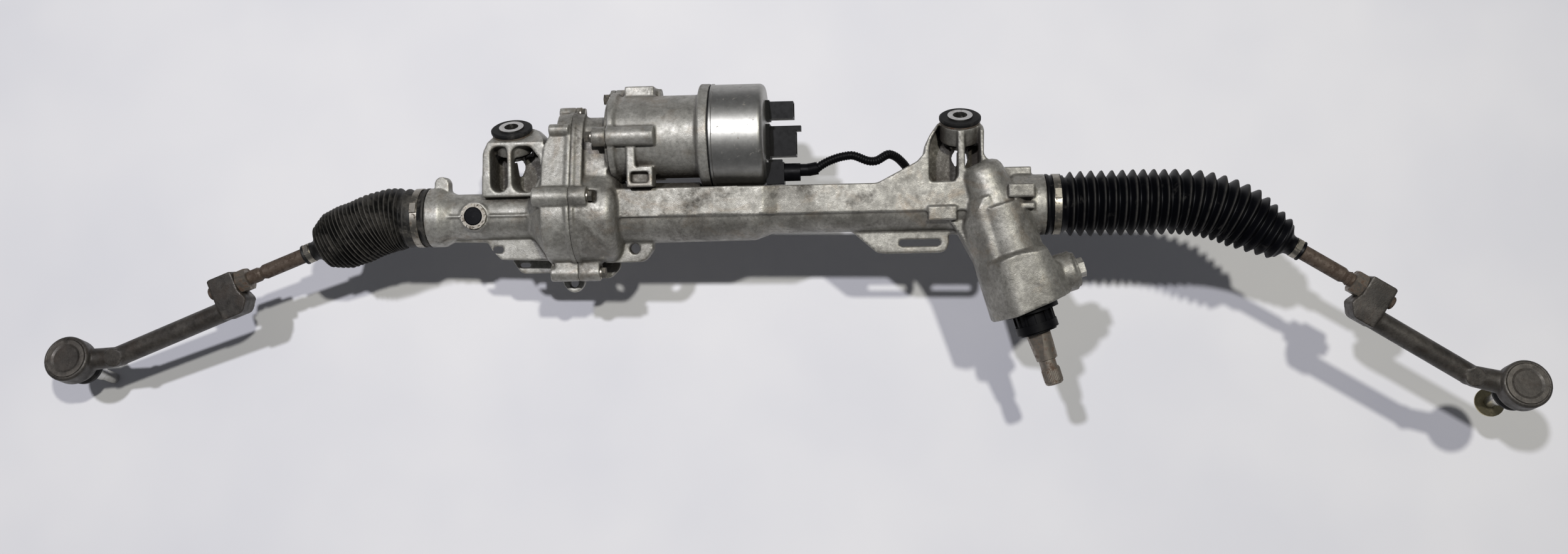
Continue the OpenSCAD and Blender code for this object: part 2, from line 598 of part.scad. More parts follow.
// Motor body with its lugs, and the control unit on its end
module motor_housing() {
  color(cast_grey) difference() {
    union() {
      translate([0, motor_y, motor_z]) turned([[0, motor_x0], [motor_r + 4, motor_x0],
        [motor_r + 4, motor_x0 + 6], [motor_r, motor_x0 + 8], [motor_r, motor_x1 - 13],
        [can_r + 1.2, motor_x1 - 10], [can_r + 1.2, motor_x1], [0, motor_x1]]);
      for (a = motor_lugs) at_motor_lug(a) along(motor_x0, motor_x0 + 48, motor_lug_r);
      // Box lug on top, rib and foot on the front
      block([motor_x0 + 13, motor_y + 30, -10], [motor_x0 + 43, motor_y + 51.5, 14]);
      block([motor_x0 + 19, motor_y - 35, 24], [motor_x0 + 28, motor_y, 47]);
      block([motor_x0 + 19, motor_y - 52, 22], [motor_x0 + 45, motor_y - 32, 47]);
    }
    translate([0, motor_y, motor_z]) {
      along(motor_x0 + 8, motor_x1 + 1, motor_r - 5.5);
      along(motor_x0 - 1, motor_x0 + 7, motor_bearing_r + seat);
      along(motor_x0 - 1, motor_x0 + 9, motor_shaft_r + 2);
    }
    for (a = motor_lugs) at_motor_lug(a) along(motor_x0 - 1, motor_x0 + 28, motor_screw_r + seat);
    block([motor_x0 + 23, motor_y - 48, 38], [motor_x0 + 41, motor_y - 37, 50]);
  }
}
shield_x0 = motor_x1 - 14;
module control_unit() {
  color(steel_grey) translate([0, motor_y, motor_z]) difference() {
    union() {
      along(shield_x0, shield_x0 + 11, motor_r - 5.5 - seat);
      along(shield_x0 + 11, can_x1 - 22, 7);
    }
    along(shield_x0 - 1, shield_x0 + 8, motor_bearing_r + seat);
  }
  color("darkgreen") translate([0, motor_y, motor_z]) {
    along(can_x1 - 22, can_x1 - 20, motor_r - 6);
    for (a = [0:60:300]) rotate([a, 0, 0]) along(can_x1 - 20, can_x1 - 6, 7, 26, 0);
  }
}
module ecu_seal() {
  color(rubber_black) translate([0, motor_y, motor_z]) difference() {
    along(motor_x1, can_x0, can_r + 0.4);
    along(motor_x1 - 1, can_x0 + 1, can_r - 5);
  }
}
can_t = 1.5;
module ecu_cover() {
  color(steel_grey) translate([0, motor_y, motor_z]) turned(concat(
    [[can_r - can_t, can_x0], [can_r + 1, can_x0], [can_r + 1, can_x0 + 2], [can_r, can_x0 + 2.6]],
    turned_arc(can_x1 - 6, can_r - 6, 6, 90, 0),
    [[0, can_x1], [0, can_x1 - can_t]],
    turned_arc(can_x1 - 6, can_r - 6, 6 - can_t, 0, 90)));
}
module signal_connector() {
  color(plastic_black) translate([can_x1, motor_y + 24, 0]) difference() {
    union() {
      block([0, -10, -13], [4, 10, 13]);
      block([0, -8.6, -11], [28, 8.6, 11]);
    }
    block([10, -6.8, -9], [30, 6.8, 9]);
  }
}
module power_connector() {
  color(plastic_black) translate([can_x1, motor_y - 7, -2]) difference() {
    union() {
      block([0, -18, -15], [4, 17, 15]);
      block([0, -15.5, -12.5], [30, 11, 12.5]);
      block([0, 10, -6], [35, 15.5, 6]);
    }
    block([12, -13.3, -10.5], [36, 9, 10.5]);
  }
}
module conduit_plug() {
  color(plastic_black) {
    translate([can_x1, motor_y - 40, 8]) {
      block([0, -11, -10], [18, 11, 10]);
      block([2, 8, -5], [16, 14, 5]);
      along(17.5, 34, 9, 1);
      along(34, 45, 6.2, 3);
    }
  }
}
module torque_sensor() {
  color(plastic_black) on_pinion() {
    translate([0, 0, 66]) difference() {
      cylinder(h = 18, r = sensor_r - seat);
      translate([0, 0, -1]) cylinder(h = 20, r = 15.6);
    }
    translate([0, -sensor_r + 2, 75]) rotate([90, 0, 0]) cylinder(h = 20, r = 9);
  }
}
module sensor_plug() {
  color(plastic_black) on_pinion() translate([0, -sensor_r - 18, 75]) rotate([90, 0, 0]) {
    cylinder(h = 14, r = 10.5);
    translate([0, 0, 7]) rotate([90, 0, 0]) cylinder(h = 23, r = 6.2);
  }
}

// The lead's tube, swept along its own points
function lerp3(a, b, t) = a * (1 - t) + b * t;
function catmull(p0, p1, p2, p3, t) = 0.5 * ((2 * p1) + (p2 - p0) * t
  + (2 * p0 - 5 * p1 + 4 * p2 - p3) * t * t + (3 * p1 - p0 - 3 * p2 + p3) * t * t * t);
function unit(v) = v / norm(v);
module tube(pts, r, n = 8) {
  last = len(pts) - 1;
  dirs = [for (i = [0:last]) unit(pts[min(i + 1, last)] - pts[max(i - 1, 0)])];
  rings = [for (i = [0:last]) let (u = unit(cross(dirs[i], [0.1, -0.3, 1])), v = cross(dirs[i], u))
    each [for (k = [0:n - 1]) pts[i] + r * (u * cos(360 * k / n) + v * sin(360 * k / n))]];
  polyhedron(rings, concat(
    [[for (k = [0:n - 1]) k]],
    [for (i = [0:last - 1], k = [0:n - 1]) let (a = i * n + k, b = i * n + (k + 1) % n)
      [a, a + n, b + n, b]],
    [[for (k = [n - 1:-1:0]) last * n + k]]));
}
module sensor_conduit() {
  color(plastic_black) tube(lead_route, lead_r);
}

// Motor inner parts
module stator() {
  color("sienna") translate([0, motor_y, motor_z]) difference() {
    union() {
      along(motor_x0 + 20, motor_x0 + 76, motor_r - 5.5 - seat);
    }
    along(motor_x0 + 19, motor_x0 + 77, 25);
    along(motor_x0 + 19, motor_x0 + 28, motor_r - 12);
    along(motor_x0 + 68, motor_x0 + 77, motor_r - 12);
  }
}
module rotor() {
  color("dimgray") translate([0, motor_y, motor_z]) {
    turned([[0, belt_x0 - 1], [motor_shaft_r, belt_x0 - 1], [motor_shaft_r, motor_x0 + 24],
      [24.3, motor_x0 + 24], [24.3, motor_x0 + 72], [motor_shaft_r, motor_x0 + 72],
      [motor_shaft_r, shield_x0 + 8], [0, shield_x0 + 8]]);
  }
}
module bearing_ring(x0, x1, r_in, r_out) {
  turned([[r_in, x0], [r_out, x0], [r_out, x1], [r_in, x1]]);
}
module motor_bearings() {
  color(steel_grey) translate([0, motor_y, motor_z]) {
    bearing_ring(motor_x0 - 1, motor_x0 + 7, motor_shaft_r + run, motor_bearing_r);
    bearing_ring(shield_x0, shield_x0 + 8, motor_shaft_r + run, motor_bearing_r);
  }
}
module drive_pulley() {
  color("gray") translate([0, motor_y, motor_z]) difference() {
    section(belt_x0, belt_x1) polygon(pulley_outline(motor_pulley_r, motor_teeth));
    along(belt_x0 - 1, belt_x1 + 1, motor_shaft_r + seat);
  }
}
module toothed_belt() {
  color(rubber_black) section(belt_x0, belt_x1) difference() {
    polygon(belt_outline(nut_pulley_r + gap + belt_t, motor_pulley_r + gap + belt_t, 60));
    polygon(belt_outline(nut_pulley_r + gap, motor_pulley_r + gap, 60));
  }
}

// Ball nut with its pulley and bearing
module nut_pulley() {
  color("gray") difference() {
    section(belt_x0, belt_x1) polygon(pulley_outline(nut_pulley_r, nut_teeth));
    along(belt_x0 - 1, belt_x1 + 1, nut_r + seat);
  }
}
module ball_nut() {
  color("dimgray") turned([[nut_bore_r, nut_x0], [nut_r, nut_x0], [nut_r, nut_x1], [nut_bore_r, nut_x1]]);
}
module nut_bearing() {
  color(steel_grey) bearing_ring(bearing_x0, bearing_x1, nut_r + run, bearing_r);
}
module bearing_lock_ring() {
  color(steel_grey) bearing_ring(bearing_x0 - 3.5, bearing_x0, nut_r + 4, bearing_r);
}

// Rack bar: ball screw at the left, teeth at the right
screw_x0 = nut_x0 - 10;
screw_turns = ceil((travel + nut_x1 - nut_x0 + 20) / screw_lead);
teeth_x = pinion_x + round(travel / 2 * cos(pinion_slant) / tooth_pitch)
  * tooth_pitch / cos(pinion_slant);
module rack_bar() {
  color(steel_grey) difference() {
    turned(concat([[0, left_ball_x + socket_in], [rack_r - 1, left_ball_x + socket_in],
      [rack_r, left_ball_x + socket_in + 1]],
      [for (i = [0:screw_turns - 1], k = [0:4])
        [rack_r - 1.8 * sin(180 * k / 4), screw_x0 + i * screw_lead + 3.6 * k / 4]],
      [[rack_r, right_ball_x - socket_in - 1], [rack_r - 1, right_ball_x - socket_in],
        [0, right_ball_x - socket_in]]));
    translate([teeth_x, 0, 0]) rotate([0, 0, pinion_slant]) translate([0, 55, 0])
      rotate([90, 0, 0]) linear_extrude(110) polygon(rack_gaps());
    along(left_ball_x + socket_in - 1, left_ball_x + socket_in + 24, 7);
    along(right_ball_x - socket_in - 24, right_ball_x - socket_in + 1, 7);
  }
}
module rack_bushes() {
  color("ivory") {
    bearing_ring(-64, -49, rack_r + run, bore_r - seat);
    bearing_ring(right_shoulder - 20, right_shoulder - 5, rack_r + run, bore_r - seat);
  }
}

// Pinion, input shaft and what carries them
module pinion_shaft() {
  color(steel_grey) on_pinion() difference() {
    union() {
      translate([0, 0, -37]) cylinder(h = 20, r = 6.2);
      translate([0, 0, -teeth_half]) linear_extrude(2 * teeth_half) polygon(pinion_outline());
      translate([0, 0, teeth_half - 1]) cylinder(h = 24, r = 8.4);
      translate([0, 0, 40]) cylinder(h = 24, r = 12.6);
    }
    translate([0, 0, 26]) cylinder(h = 40, r = torsion_r + seat);
    translate([0, 0, 56]) cylinder(h = 10, r = 8.9);
  }
}
module input_shaft() {
  color(steel_grey) on_pinion() difference() {
    rotate_extrude() polygon([[0, 57], [8.8, 57], [8.8, sleeve_s0], [13, sleeve_s0],
      [10.5, sleeve_s1], [8.8, sleeve_s1], [8.8, shaft_len - 16], [9, shaft_len - 16],
      [9, shaft_len - 1.5], [7.6, shaft_len], [0, shaft_len]]);
    translate([0, 0, 56]) cylinder(h = 94, r = torsion_r + seat);
    // Flat for the coupling bolt beside the spline, and the facets of the sleeve
    translate([7.2, -12, shaft_len - 25]) cube([6, 24, 8]);
    for (a = [0:120:240]) rotate([0, 0, a]) translate([10.6, -15, sleeve_s0 - 4]) cube([6, 30, 32]);
  }
}
module torsion_bar() {
  color("gray") on_pinion() translate([0, 0, 28]) cylinder(h = 118, r = torsion_r);
}
module pinion_bearings() {
  color(steel_grey) on_pinion() {
    translate([0, 0, -36]) difference() {
      cylinder(h = 14, r = 11 - seat);
      translate([0, 0, -1]) cylinder(h = 16, r = 6.2 + run);
    }
    translate([0, 0, 24]) difference() {
      cylinder(h = 13, r = 17.5);
      translate([0, 0, -1]) cylinder(h = 15, r = 8.4 + run);
    }
  }
}
module sensor_rotor() {
  color("darkslategray") on_pinion() translate([0, 0, 68]) difference() {
    cylinder(h = 10, r = 15);
    translate([0, 0, -1]) cylinder(h = 12, r = 8.8 + seat);
  }
}
module dust_cap() {
  color(plastic_black) on_pinion() difference() {
    union() {
      translate([0, 0, tower_len - cap_depth]) cylinder(h = cap_depth + 1.5, r = cap_r);
      translate([0, 0, tower_len]) cylinder(h = 23, r = 18.6);
      translate([0, 0, tower_len + 13]) cylinder(h = 8, r = 21.3);
      for (a = [0:30:330]) rotate([0, 0, a]) translate([15, -1, tower_len]) cube([5.4, 2, 14]);
    }
    translate([0, 0, tower_len - 20]) cylinder(h = 60, r = 9 + gap);
    translate([0, 0, tower_len - 5]) cylinder(h = 24, r = 16);
  }
}
module tower_plug() {
  color("lightgray") on_pinion() translate([46, 0, 84]) rotate([0, 90, 0]) {
    cylinder(h = 10, r = 12);
    translate([0, 0, 10]) hexagon(17, 6);
  }
}
module yoke() {
  color(steel_grey) difference() {
    translate([pinion_x, 0, -32]) cylinder(h = 29, r = 15.4);
    along(pinion_x - 20, pinion_x + 20, rack_r + run);
    translate([pinion_x, 0, -33]) cylinder(h = 8, r = 9);
  }
}
module yoke_spring() {
  color("gray") translate([pinion_x, 0, -37]) rotate_extrude()
    polygon([[4, 8], [8.4, 12], [8.4, 11], [5, 7.6], [8.4, 4.2], [8.4, 3.2], [4, 7],
      [3, 7.5]]);
}
module yoke_nut() {
  color(steel_grey) difference() {
    translate([pinion_x, 0, -47]) cylinder(h = 10, r = 17.4);
    translate([pinion_x, 0, -48]) hexagon(17, 7);
  }
}

// Inner joints: the socket with its shank in the rack, and the tie rod with its ball
module rack_joint(x, side) {
  cavity_r = inner_ball_r + rod_clear;
  mouth = acos(-socket_out / cavity_r);
  color(steel_grey) translate([x, 0, 0]) mirror([side > 0 ? 1 : 0, 0, 0]) union() {
    turned(concat([[0, socket_in], [socket_r - 2, socket_in], [socket_r, socket_in - 2],
      [socket_r, -socket_out + 1.5], [socket_r - 1.5, -socket_out]],
      [for (i = [16:-1:0]) [cavity_r * sin(mouth * i / 16), cavity_r * cos(mouth * i / 16)]]));
    along(socket_in - 1, socket_in + 22, 6.9);
  }
}
module rack_joint_left() { rack_joint(left_ball_x, -1); }
module rack_joint_right() { rack_joint(right_ball_x, 1); }

module tie_rod_form(len) {
  neck_r = 6.2;
  neck_a = asin(neck_r / inner_ball_r);
  color(forged_brown) turned(concat(
    [for (i = [0:28]) let (a = 180 - (180 - neck_a) * i / 28)
      [inner_ball_r * sin(a), inner_ball_r * cos(a)]],
    [[neck_r, 20], [rod_r, 32], [rod_r, 146], [rod_r - 1.6, 150],
      [thread_r, 152], [thread_r, len - 1], [thread_r - 1, len], [0, len]]));
}
module tie_rod_left() { on_left_rod() tie_rod_form(left_rod_len); }
module tie_rod_right() { on_right_rod() tie_rod_form(right_rod_len); }

module jam_nut(x) {
  color(steel_grey) translate([x - nut_t, 0, 0]) rotate([0, 90, 0]) difference() {
    intersection() {
      hexagon(nut_af, nut_t);
      rotate_extrude() polygon([[0, 0], [nut_af / 2 + 0.2, 0], [nut_af / 2 + 2, 1.4],
        [nut_af / 2 + 2, nut_t], [0, nut_t]]);
    }
    translate([0, 0, -1]) cylinder(h = nut_t + 2, r = thread_r + seat);
  }
}
module jam_nut_left() { on_left_rod() jam_nut(left_end_start); }
module jam_nut_right() { on_right_rod() jam_nut(right_end_start); }

// Outer rod ends: in the rod's frame the ball housing's centre is worked out from its place
function left_local(p) = let (d = p - [left_ball_x, 0, 0], a = left_droop)
  [-d[0] * cos(a) - d[1] * sin(a), -d[0] * sin(a) + d[1] * cos(a), d[2]];
function right_local(p) = let (d = p - [right_ball_x, 0, 0], a = right_droop)
  [d[0] * cos(a) - d[1] * sin(a), d[0] * sin(a) + d[1] * cos(a), d[2]];
left_stud_local = left_local(left_stud_at);
right_stud_local = right_local(right_stud_at);

module rod_between(a, b, r0, r1) {
  d = b - a;
  translate(a) rotate([0, 0, atan2(d[1], d[0])]) rotate([0, 90, 0])
    cylinder(h = norm(d), r1 = r0, r2 = r1);
}
// Stud frame: local +z points from the ball out through the stud
module on_stud(at, droop) translate(at) rotate([0, 0, droop]) rotate([180 - stud_lean, 0, 0]) children();
module rod_end(start, at, droop) {
  bend = [at[0] - 46, -arm_offset - 1, 0];
  root = [start + 6, -arm_offset, 0];
  color(forged_brown) difference() {
    union() {
      slab(-13, 13) polygon(rounded([[start, 13, 2], [start + block_len, 13, 3],
        [start + block_len, -14, 0], [start + block_len - 2, -arm_offset - arm_r + 1, 0],
        [start + 4, -arm_offset - arm_r + 1, 8], [start - 5, -arm_offset + 2, 5],
        [start, -8, 0]]));
      rod_between(root, bend, arm_r - 0.5, arm_r - 0.7);
      translate(bend - [0, 0, arm_r - 0.5]) cylinder(h = 2 * arm_r - 1, r = arm_r - 1.5);
      rod_between(bend, [at[0], at[1], 0], arm_r - 0.7, arm_r + 1);
      on_stud(at, droop) translate([0, 0, -housing_h / 2]) rotate_extrude() polygon([[0, 0],
        [housing_r - 2, 0], [housing_r, 2], [housing_r, 19], [housing_r - 6, housing_h],
        [0, housing_h]]);
    }
    along(start - 8, start + block_len + 1, thread_r + seat);
    along(start - nut_t - 2, start, nut_af / 2 / cos(30) + 0.5);
    on_stud(at, droop) {
      sphere(r = stud_ball_r + rod_clear);
      translate([0, 0, -housing_h]) cylinder(h = housing_h - 3, r = stud_ball_r + 1);
      translate([0, 0, -housing_h / 2 - 1]) cylinder(h = 4, r = cap_rim_r);
      translate([0, 0, 5]) cylinder(h = 20, r1 = 9.4, r2 = 15);
    }
  }
}
module rod_end_left() { on_left_rod() rod_end(left_end_start, left_stud_local, left_droop); }
module rod_end_right() { on_right_rod() rod_end(right_end_start, right_stud_local, right_droop); }

module end_cap(at, droop) {
  color(forged_brown) on_stud(at, droop) translate([0, 0, -housing_h / 2]) union() {
    rotate_extrude() polygon([[0, 0.8], [13, 0.8], [15.5, 0], [cap_rim_r - seat, 0],
      [cap_rim_r - seat, 2.9], [0, 2.9]]);
  }
}
module end_cap_left() { on_left_rod() end_cap(left_stud_local, left_droop); }
module end_cap_right() { on_right_rod() end_cap(right_stud_local, right_droop); }

// The thread ends at the length given; tip is the plain end beyond it
module ball_stud(at, droop, thread_end, tip) {
  color(steel_grey) on_stud(at, droop) {
    sphere(r = stud_ball_r);
    rotate_extrude() polygon(concat(
      [[0, 5], [7.4, 5], [7.4, 16], [9, 20], [9, 32], [7.6, 54], [6, 55]],
      tip > 0 ? [[6, thread_end], [5.7, thread_end], [5.7, thread_end + tip],
        [4.8, thread_end + tip + 1], [0, thread_end + tip + 1]] :
      [[6, thread_end], [5, thread_end + 1], [0, thread_end + 1]]));
  }
}
module ball_stud_left() { on_left_rod() ball_stud(left_stud_local, left_droop, stud_thread_end, 0); }
module ball_stud_right() {
  on_right_rod() ball_stud(right_stud_local, right_droop, stud_nut_at + 12.3, 5);
}

module stud_boot(at, droop) {
  color(rubber_black) on_stud(at, droop) rotate_extrude() polygon([[16, housing_h / 2 + gap],
    [18, housing_h / 2 + gap], [19.5, 20], [19, 24], [13, 30], [11.5, 31], [9 + gap, 31],
    [9 + gap, 28], [12, 27], [17, 22], [17.4, 20]]);
}
module stud_boot_left() { on_left_rod() stud_boot(left_stud_local, left_droop); }
module stud_boot_right() { on_right_rod() stud_boot(right_stud_local, right_droop); }

module stud_nut_right() {
  color("silver") on_right_rod() on_stud(right_stud_local, right_droop)
    translate([0, 0, stud_nut_at]) difference() {
      union() {
        cylinder(h = 2, r = 15);
        translate([0, 0, 2]) hexagon(18, 10);
      }
      translate([0, 0, -1]) cylinder(h = 20, r = 6 + seat);
    }
}

// Gaiters: a path along the rack that turns onto the tie rod, and a folded tube on it
function path_at(s, flat, bend_r, droop) =
  let (arc = bend_r * droop * PI / 180)
  s <= flat ? [s, 0, 0] :
  s <= flat + arc ? let (a = (s - flat) / bend_r * 180 / PI)
    [flat + bend_r * sin(a), -bend_r * (1 - cos(a)), -a] :
  let (r = s - flat - arc)
    [flat + bend_r * sin(droop) + r * cos(droop), -bend_r * (1 - cos(droop)) - r * sin(droop), -droop];
function ring(s, r, flat, bend_r, droop) = let (p = path_at(s, flat, bend_r, droop))
  [for (k = [0:sides - 1]) let (c = r * cos(360 * k / sides), z = r * sin(360 * k / sides))
    [p[0] - c * sin(p[2]), p[1] + c * cos(p[2]), z]];

// x0 is the shoulder, flat the straight stretch, reach the distance of the bend from the ball
module gaiter(x0, ball, droop, side) {
  reach = side < 0 ? 17 : 41;
  seat_len = side < 0 ? left_shoulder - left_end : right_end - right_shoulder;
  flat = abs(ball - x0) - reach;
  bend_r = reach / tan(droop / 2);
  total = flat + bend_r * droop * PI / 180 + small_cuff_start - reach;
  cone = 7;
  f0 = seat_len + 3;
  f1 = total - cone;
  pitch = (f1 - f0) / folds;
  outer = concat([[0, cuff_r + 1.6], [3, cuff_r + 1.6], [5, cuff_r], [seat_len + 1, cuff_r]],
    [for (i = [0:folds - 1]) let (t = i / (folds - 1),
      peak = t < 0.8 ? fold_r : fold_r - (t - 0.8) / 0.2 * 11)
      each [[f0 + (i + 0.1) * pitch, peak - fold_depth * (t < 0.8 ? 1 : 0.7)],
        [f0 + (i + 0.6) * pitch, peak]]],
    [[f1 + 1, 18], [total - 1, rod_r + gap + rubber_t + 1.4],
      [total, rod_r + gap + rubber_t], [total + small_cuff_len, rod_r + gap + rubber_t]]);
  wall_r = fold_r - fold_depth - rubber_t;
  inner = concat([[total + small_cuff_len, rod_r + gap], [total - 2, rod_r + gap], [f1 - 3, 18.5],
    [f1 - 5.5 * pitch, wall_r - 3]],
    [for (i = [0:6]) [total * (0.72 - 0.05 * i), wall_r]],
    [[seat_len + 4, wall_r], [seat_len + 1, seat_r + gap], [0, seat_r + gap]]);
  prof = concat(outer, inner);
  m = len(prof);
  color(rubber_black) translate([x0, 0, 0]) mirror([side < 0 ? 1 : 0, 0, 0])
    polyhedron([for (p = prof) each ring(p[0], p[1], flat, bend_r, droop)],
      [for (i = [0:m - 1], k = [0:sides - 1])
        let (a = i * sides + k, b = i * sides + (k + 1) % sides,
          c = ((i + 1) % m) * sides + k, d = ((i + 1) % m) * sides + (k + 1) % sides)
        each [[a, d, b], [a, c, d]]]);
}
module gaiter_left() { gaiter(left_shoulder - gap, left_ball_x, left_droop, -1); }
module gaiter_right() { gaiter(right_shoulder + gap, right_ball_x, right_droop, 1); }

module band(x0, w, r, t, ear) {
  difference() {
    union() {
      along(x0, x0 + w, r + t);
      rotate([-18, 0, 0]) translate([x0 + 0.4, -5, r]) cube([w - 0.8, 10, ear]);
    }
    along(x0 - 1, x0 + w + 1, r);
  }
}
module gaiter_clamps_large() {
  color(steel_grey) {
    band(left_shoulder - gap - 14, 7, cuff_r + gap, 1, 3.4);
    band(right_shoulder + gap + 7, 7, cuff_r + gap, 1, 3.4);
  }
}
module small_clamp() {
  color(steel_grey) band(small_cuff_start + 4.5, 6, rod_r + gap + rubber_t + gap, 0.8, 2.6);
}
module small_clamp_left() { on_left_rod() small_clamp(); }
module small_clamp_right() { on_right_rod() small_clamp(); }

place() {
  rack_housing();
  drive_housing();
  bush_sleeves();
  bush_rubbers();
  bush_shells();
  port_ring();
  port_cap();
  housing_screws();
  motor_housing();
  motor_screws();
  control_unit();
  ecu_cover();
  ecu_seal();
  power_connector();
  signal_connector();
  conduit_plug();
  sensor_conduit();
  sensor_plug();
  stator();
  rotor();
  motor_bearings();
  drive_pulley();
  toothed_belt();
  nut_pulley();
  ball_nut();
  nut_bearing();
  bearing_lock_ring();
  pinion_shaft();
  input_shaft();
  torsion_bar();
  pinion_bearings();
  sensor_rotor();
  torque_sensor();
  dust_cap();
  tower_plug();
  yoke();
  yoke_spring();
  yoke_nut();
  rack_bar();
  rack_bushes();
  rack_joint_left();
  rack_joint_right();
  tie_rod_left();
  tie_rod_right();
  jam_nut_left();
  jam_nut_right();
  rod_end_left();
  rod_end_right();
  ball_stud_left();
  ball_stud_right();
  stud_boot_left();
  stud_boot_right();
  end_cap_left();
  end_cap_right();
  stud_nut_right();
  gaiter_left();
  gaiter_right();
  gaiter_clamps_large();
  small_clamp_left();
  small_clamp_right();
}
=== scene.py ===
"""Looks of a rack with its electric drive, gaiters and tie rods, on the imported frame."""
import json
import math

import bmesh
import bpy
import numpy as np
from mathutils import Matrix, Vector


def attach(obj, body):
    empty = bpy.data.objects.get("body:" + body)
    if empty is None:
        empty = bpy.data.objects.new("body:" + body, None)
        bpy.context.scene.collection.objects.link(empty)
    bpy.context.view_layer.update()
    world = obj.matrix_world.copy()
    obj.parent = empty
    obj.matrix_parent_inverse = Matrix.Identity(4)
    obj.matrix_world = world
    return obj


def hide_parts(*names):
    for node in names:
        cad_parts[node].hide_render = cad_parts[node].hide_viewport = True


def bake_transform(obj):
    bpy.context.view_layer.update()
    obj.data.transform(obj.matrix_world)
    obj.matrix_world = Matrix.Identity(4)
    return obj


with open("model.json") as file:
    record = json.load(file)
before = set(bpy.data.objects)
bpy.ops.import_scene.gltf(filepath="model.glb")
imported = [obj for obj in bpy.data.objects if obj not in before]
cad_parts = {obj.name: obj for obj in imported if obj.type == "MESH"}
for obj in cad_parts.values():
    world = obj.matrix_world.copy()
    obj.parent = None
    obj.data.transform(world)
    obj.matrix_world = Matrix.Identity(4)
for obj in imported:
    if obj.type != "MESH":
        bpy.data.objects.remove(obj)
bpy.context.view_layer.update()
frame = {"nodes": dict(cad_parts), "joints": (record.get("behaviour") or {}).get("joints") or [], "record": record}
nodes = frame["nodes"]
MM = 0.001
# The castings are drawn along the rack, and lie turned about it
RACK_Y, RACK_Z, CASTING_TURN = -36, -67, 60
CASTING = (Matrix.Translation((0, RACK_Y * MM, RACK_Z * MM))
           @ Matrix.Rotation(math.radians(CASTING_TURN), 4, "X"))
COARSE = 1.0


def place(x, y, z):
    """A point of the castings' own frame, in mm, as a point of the row frame."""
    return CASTING @ (Vector((x, y, z)) * MM)


# Materials
class Paint:
    """A node material on one Principled shader, with lengths in millimetres on the object."""

    def __init__(self, name, metallic=0.0, roughness=0.5, **sockets):
        self.material = bpy.data.materials.new(name)
        self.material.use_nodes = True
        self.tree = self.material.node_tree
        self.tree.nodes.clear()
        out = self.add("ShaderNodeOutputMaterial")
        self.shader = self.add("ShaderNodeBsdfPrincipled")
        self.tree.links.new(self.shader.outputs[0], out.inputs[0])
        self.set("Metallic", metallic)
        self.set("Roughness", roughness)
        for key, value in sockets.items():
            self.set(key.replace("_", " "), value)
        coordinates = self.add("ShaderNodeTexCoord")
        scale = self.add("ShaderNodeVectorMath", operation="SCALE")
        scale.inputs["Scale"].default_value = 1000
        self.tree.links.new(coordinates.outputs["Object"], scale.inputs[0])
        self.place = scale.outputs[0]

    def add(self, kind, **properties):
        node = self.tree.nodes.new(kind)
        for key, value in properties.items():
            setattr(node, key, value)
        return node

    def feed(self, socket, value):
        if isinstance(value, bpy.types.NodeSocket):
            self.tree.links.new(value, socket)
        elif isinstance(value, (tuple, list)) and len(value) == 3 and socket.type == "RGBA":
            socket.default_value = (*value, 1)
        else:
            socket.default_value = value

    def set(self, name, value):
        self.feed(self.shader.inputs[name], value)

    def noise(self, size, detail=4, rough=0.55, distort=0.0):
        """Noise whose blotches are about size mm across."""
        node = self.add("ShaderNodeTexNoise")
        self.feed(node.inputs["Vector"], self.place)
        self.feed(node.inputs["Scale"], 1 / size)
        self.feed(node.inputs["Detail"], detail)
        self.feed(node.inputs["Roughness"], rough)
        self.feed(node.inputs["Distortion"], distort)
        return node.outputs["Fac"]

    def edges(self):
        return self.add("ShaderNodeNewGeometry").outputs["Pointiness"]

    def span(self, value, low, high, to_low=0.0, to_high=1.0):
        node = self.add("ShaderNodeMapRange")
        for slot, given in zip(("Value", "From Min", "From Max", "To Min", "To Max"),
                               (value, low, high, to_low, to_high)):
            self.feed(node.inputs[slot], given)
        return node.outputs[0]

    def math(self, operation, a, b=0.0):
        node = self.add("ShaderNodeMath", operation=operation)
        self.feed(node.inputs[0], a)
        self.feed(node.inputs[1], b)
        return node.outputs[0]

    def mix(self, share, a, b):
        node = self.add("ShaderNodeMix", data_type="RGBA")
        self.feed(node.inputs[0], share)
        self.feed(node.inputs[6], a)
        self.feed(node.inputs[7], b)
        return node.outputs[2]

    def bump(self, height, strength, depth, under=None):
        """depth is in mm."""
        node = self.add("ShaderNodeBump")
        self.feed(node.inputs["Height"], height)
        self.feed(node.inputs["Strength"], strength)
        self.feed(node.inputs["Distance"], depth * MM)
        if under is not None:
            self.feed(node.inputs["Normal"], under)
        return node.outputs[0]


BROWN_STAIN = (0.20, 0.15, 0.10)
# Reach in mm of the ambient occlusion that paints shade into the castings' recesses
SHADE_REACH = 34


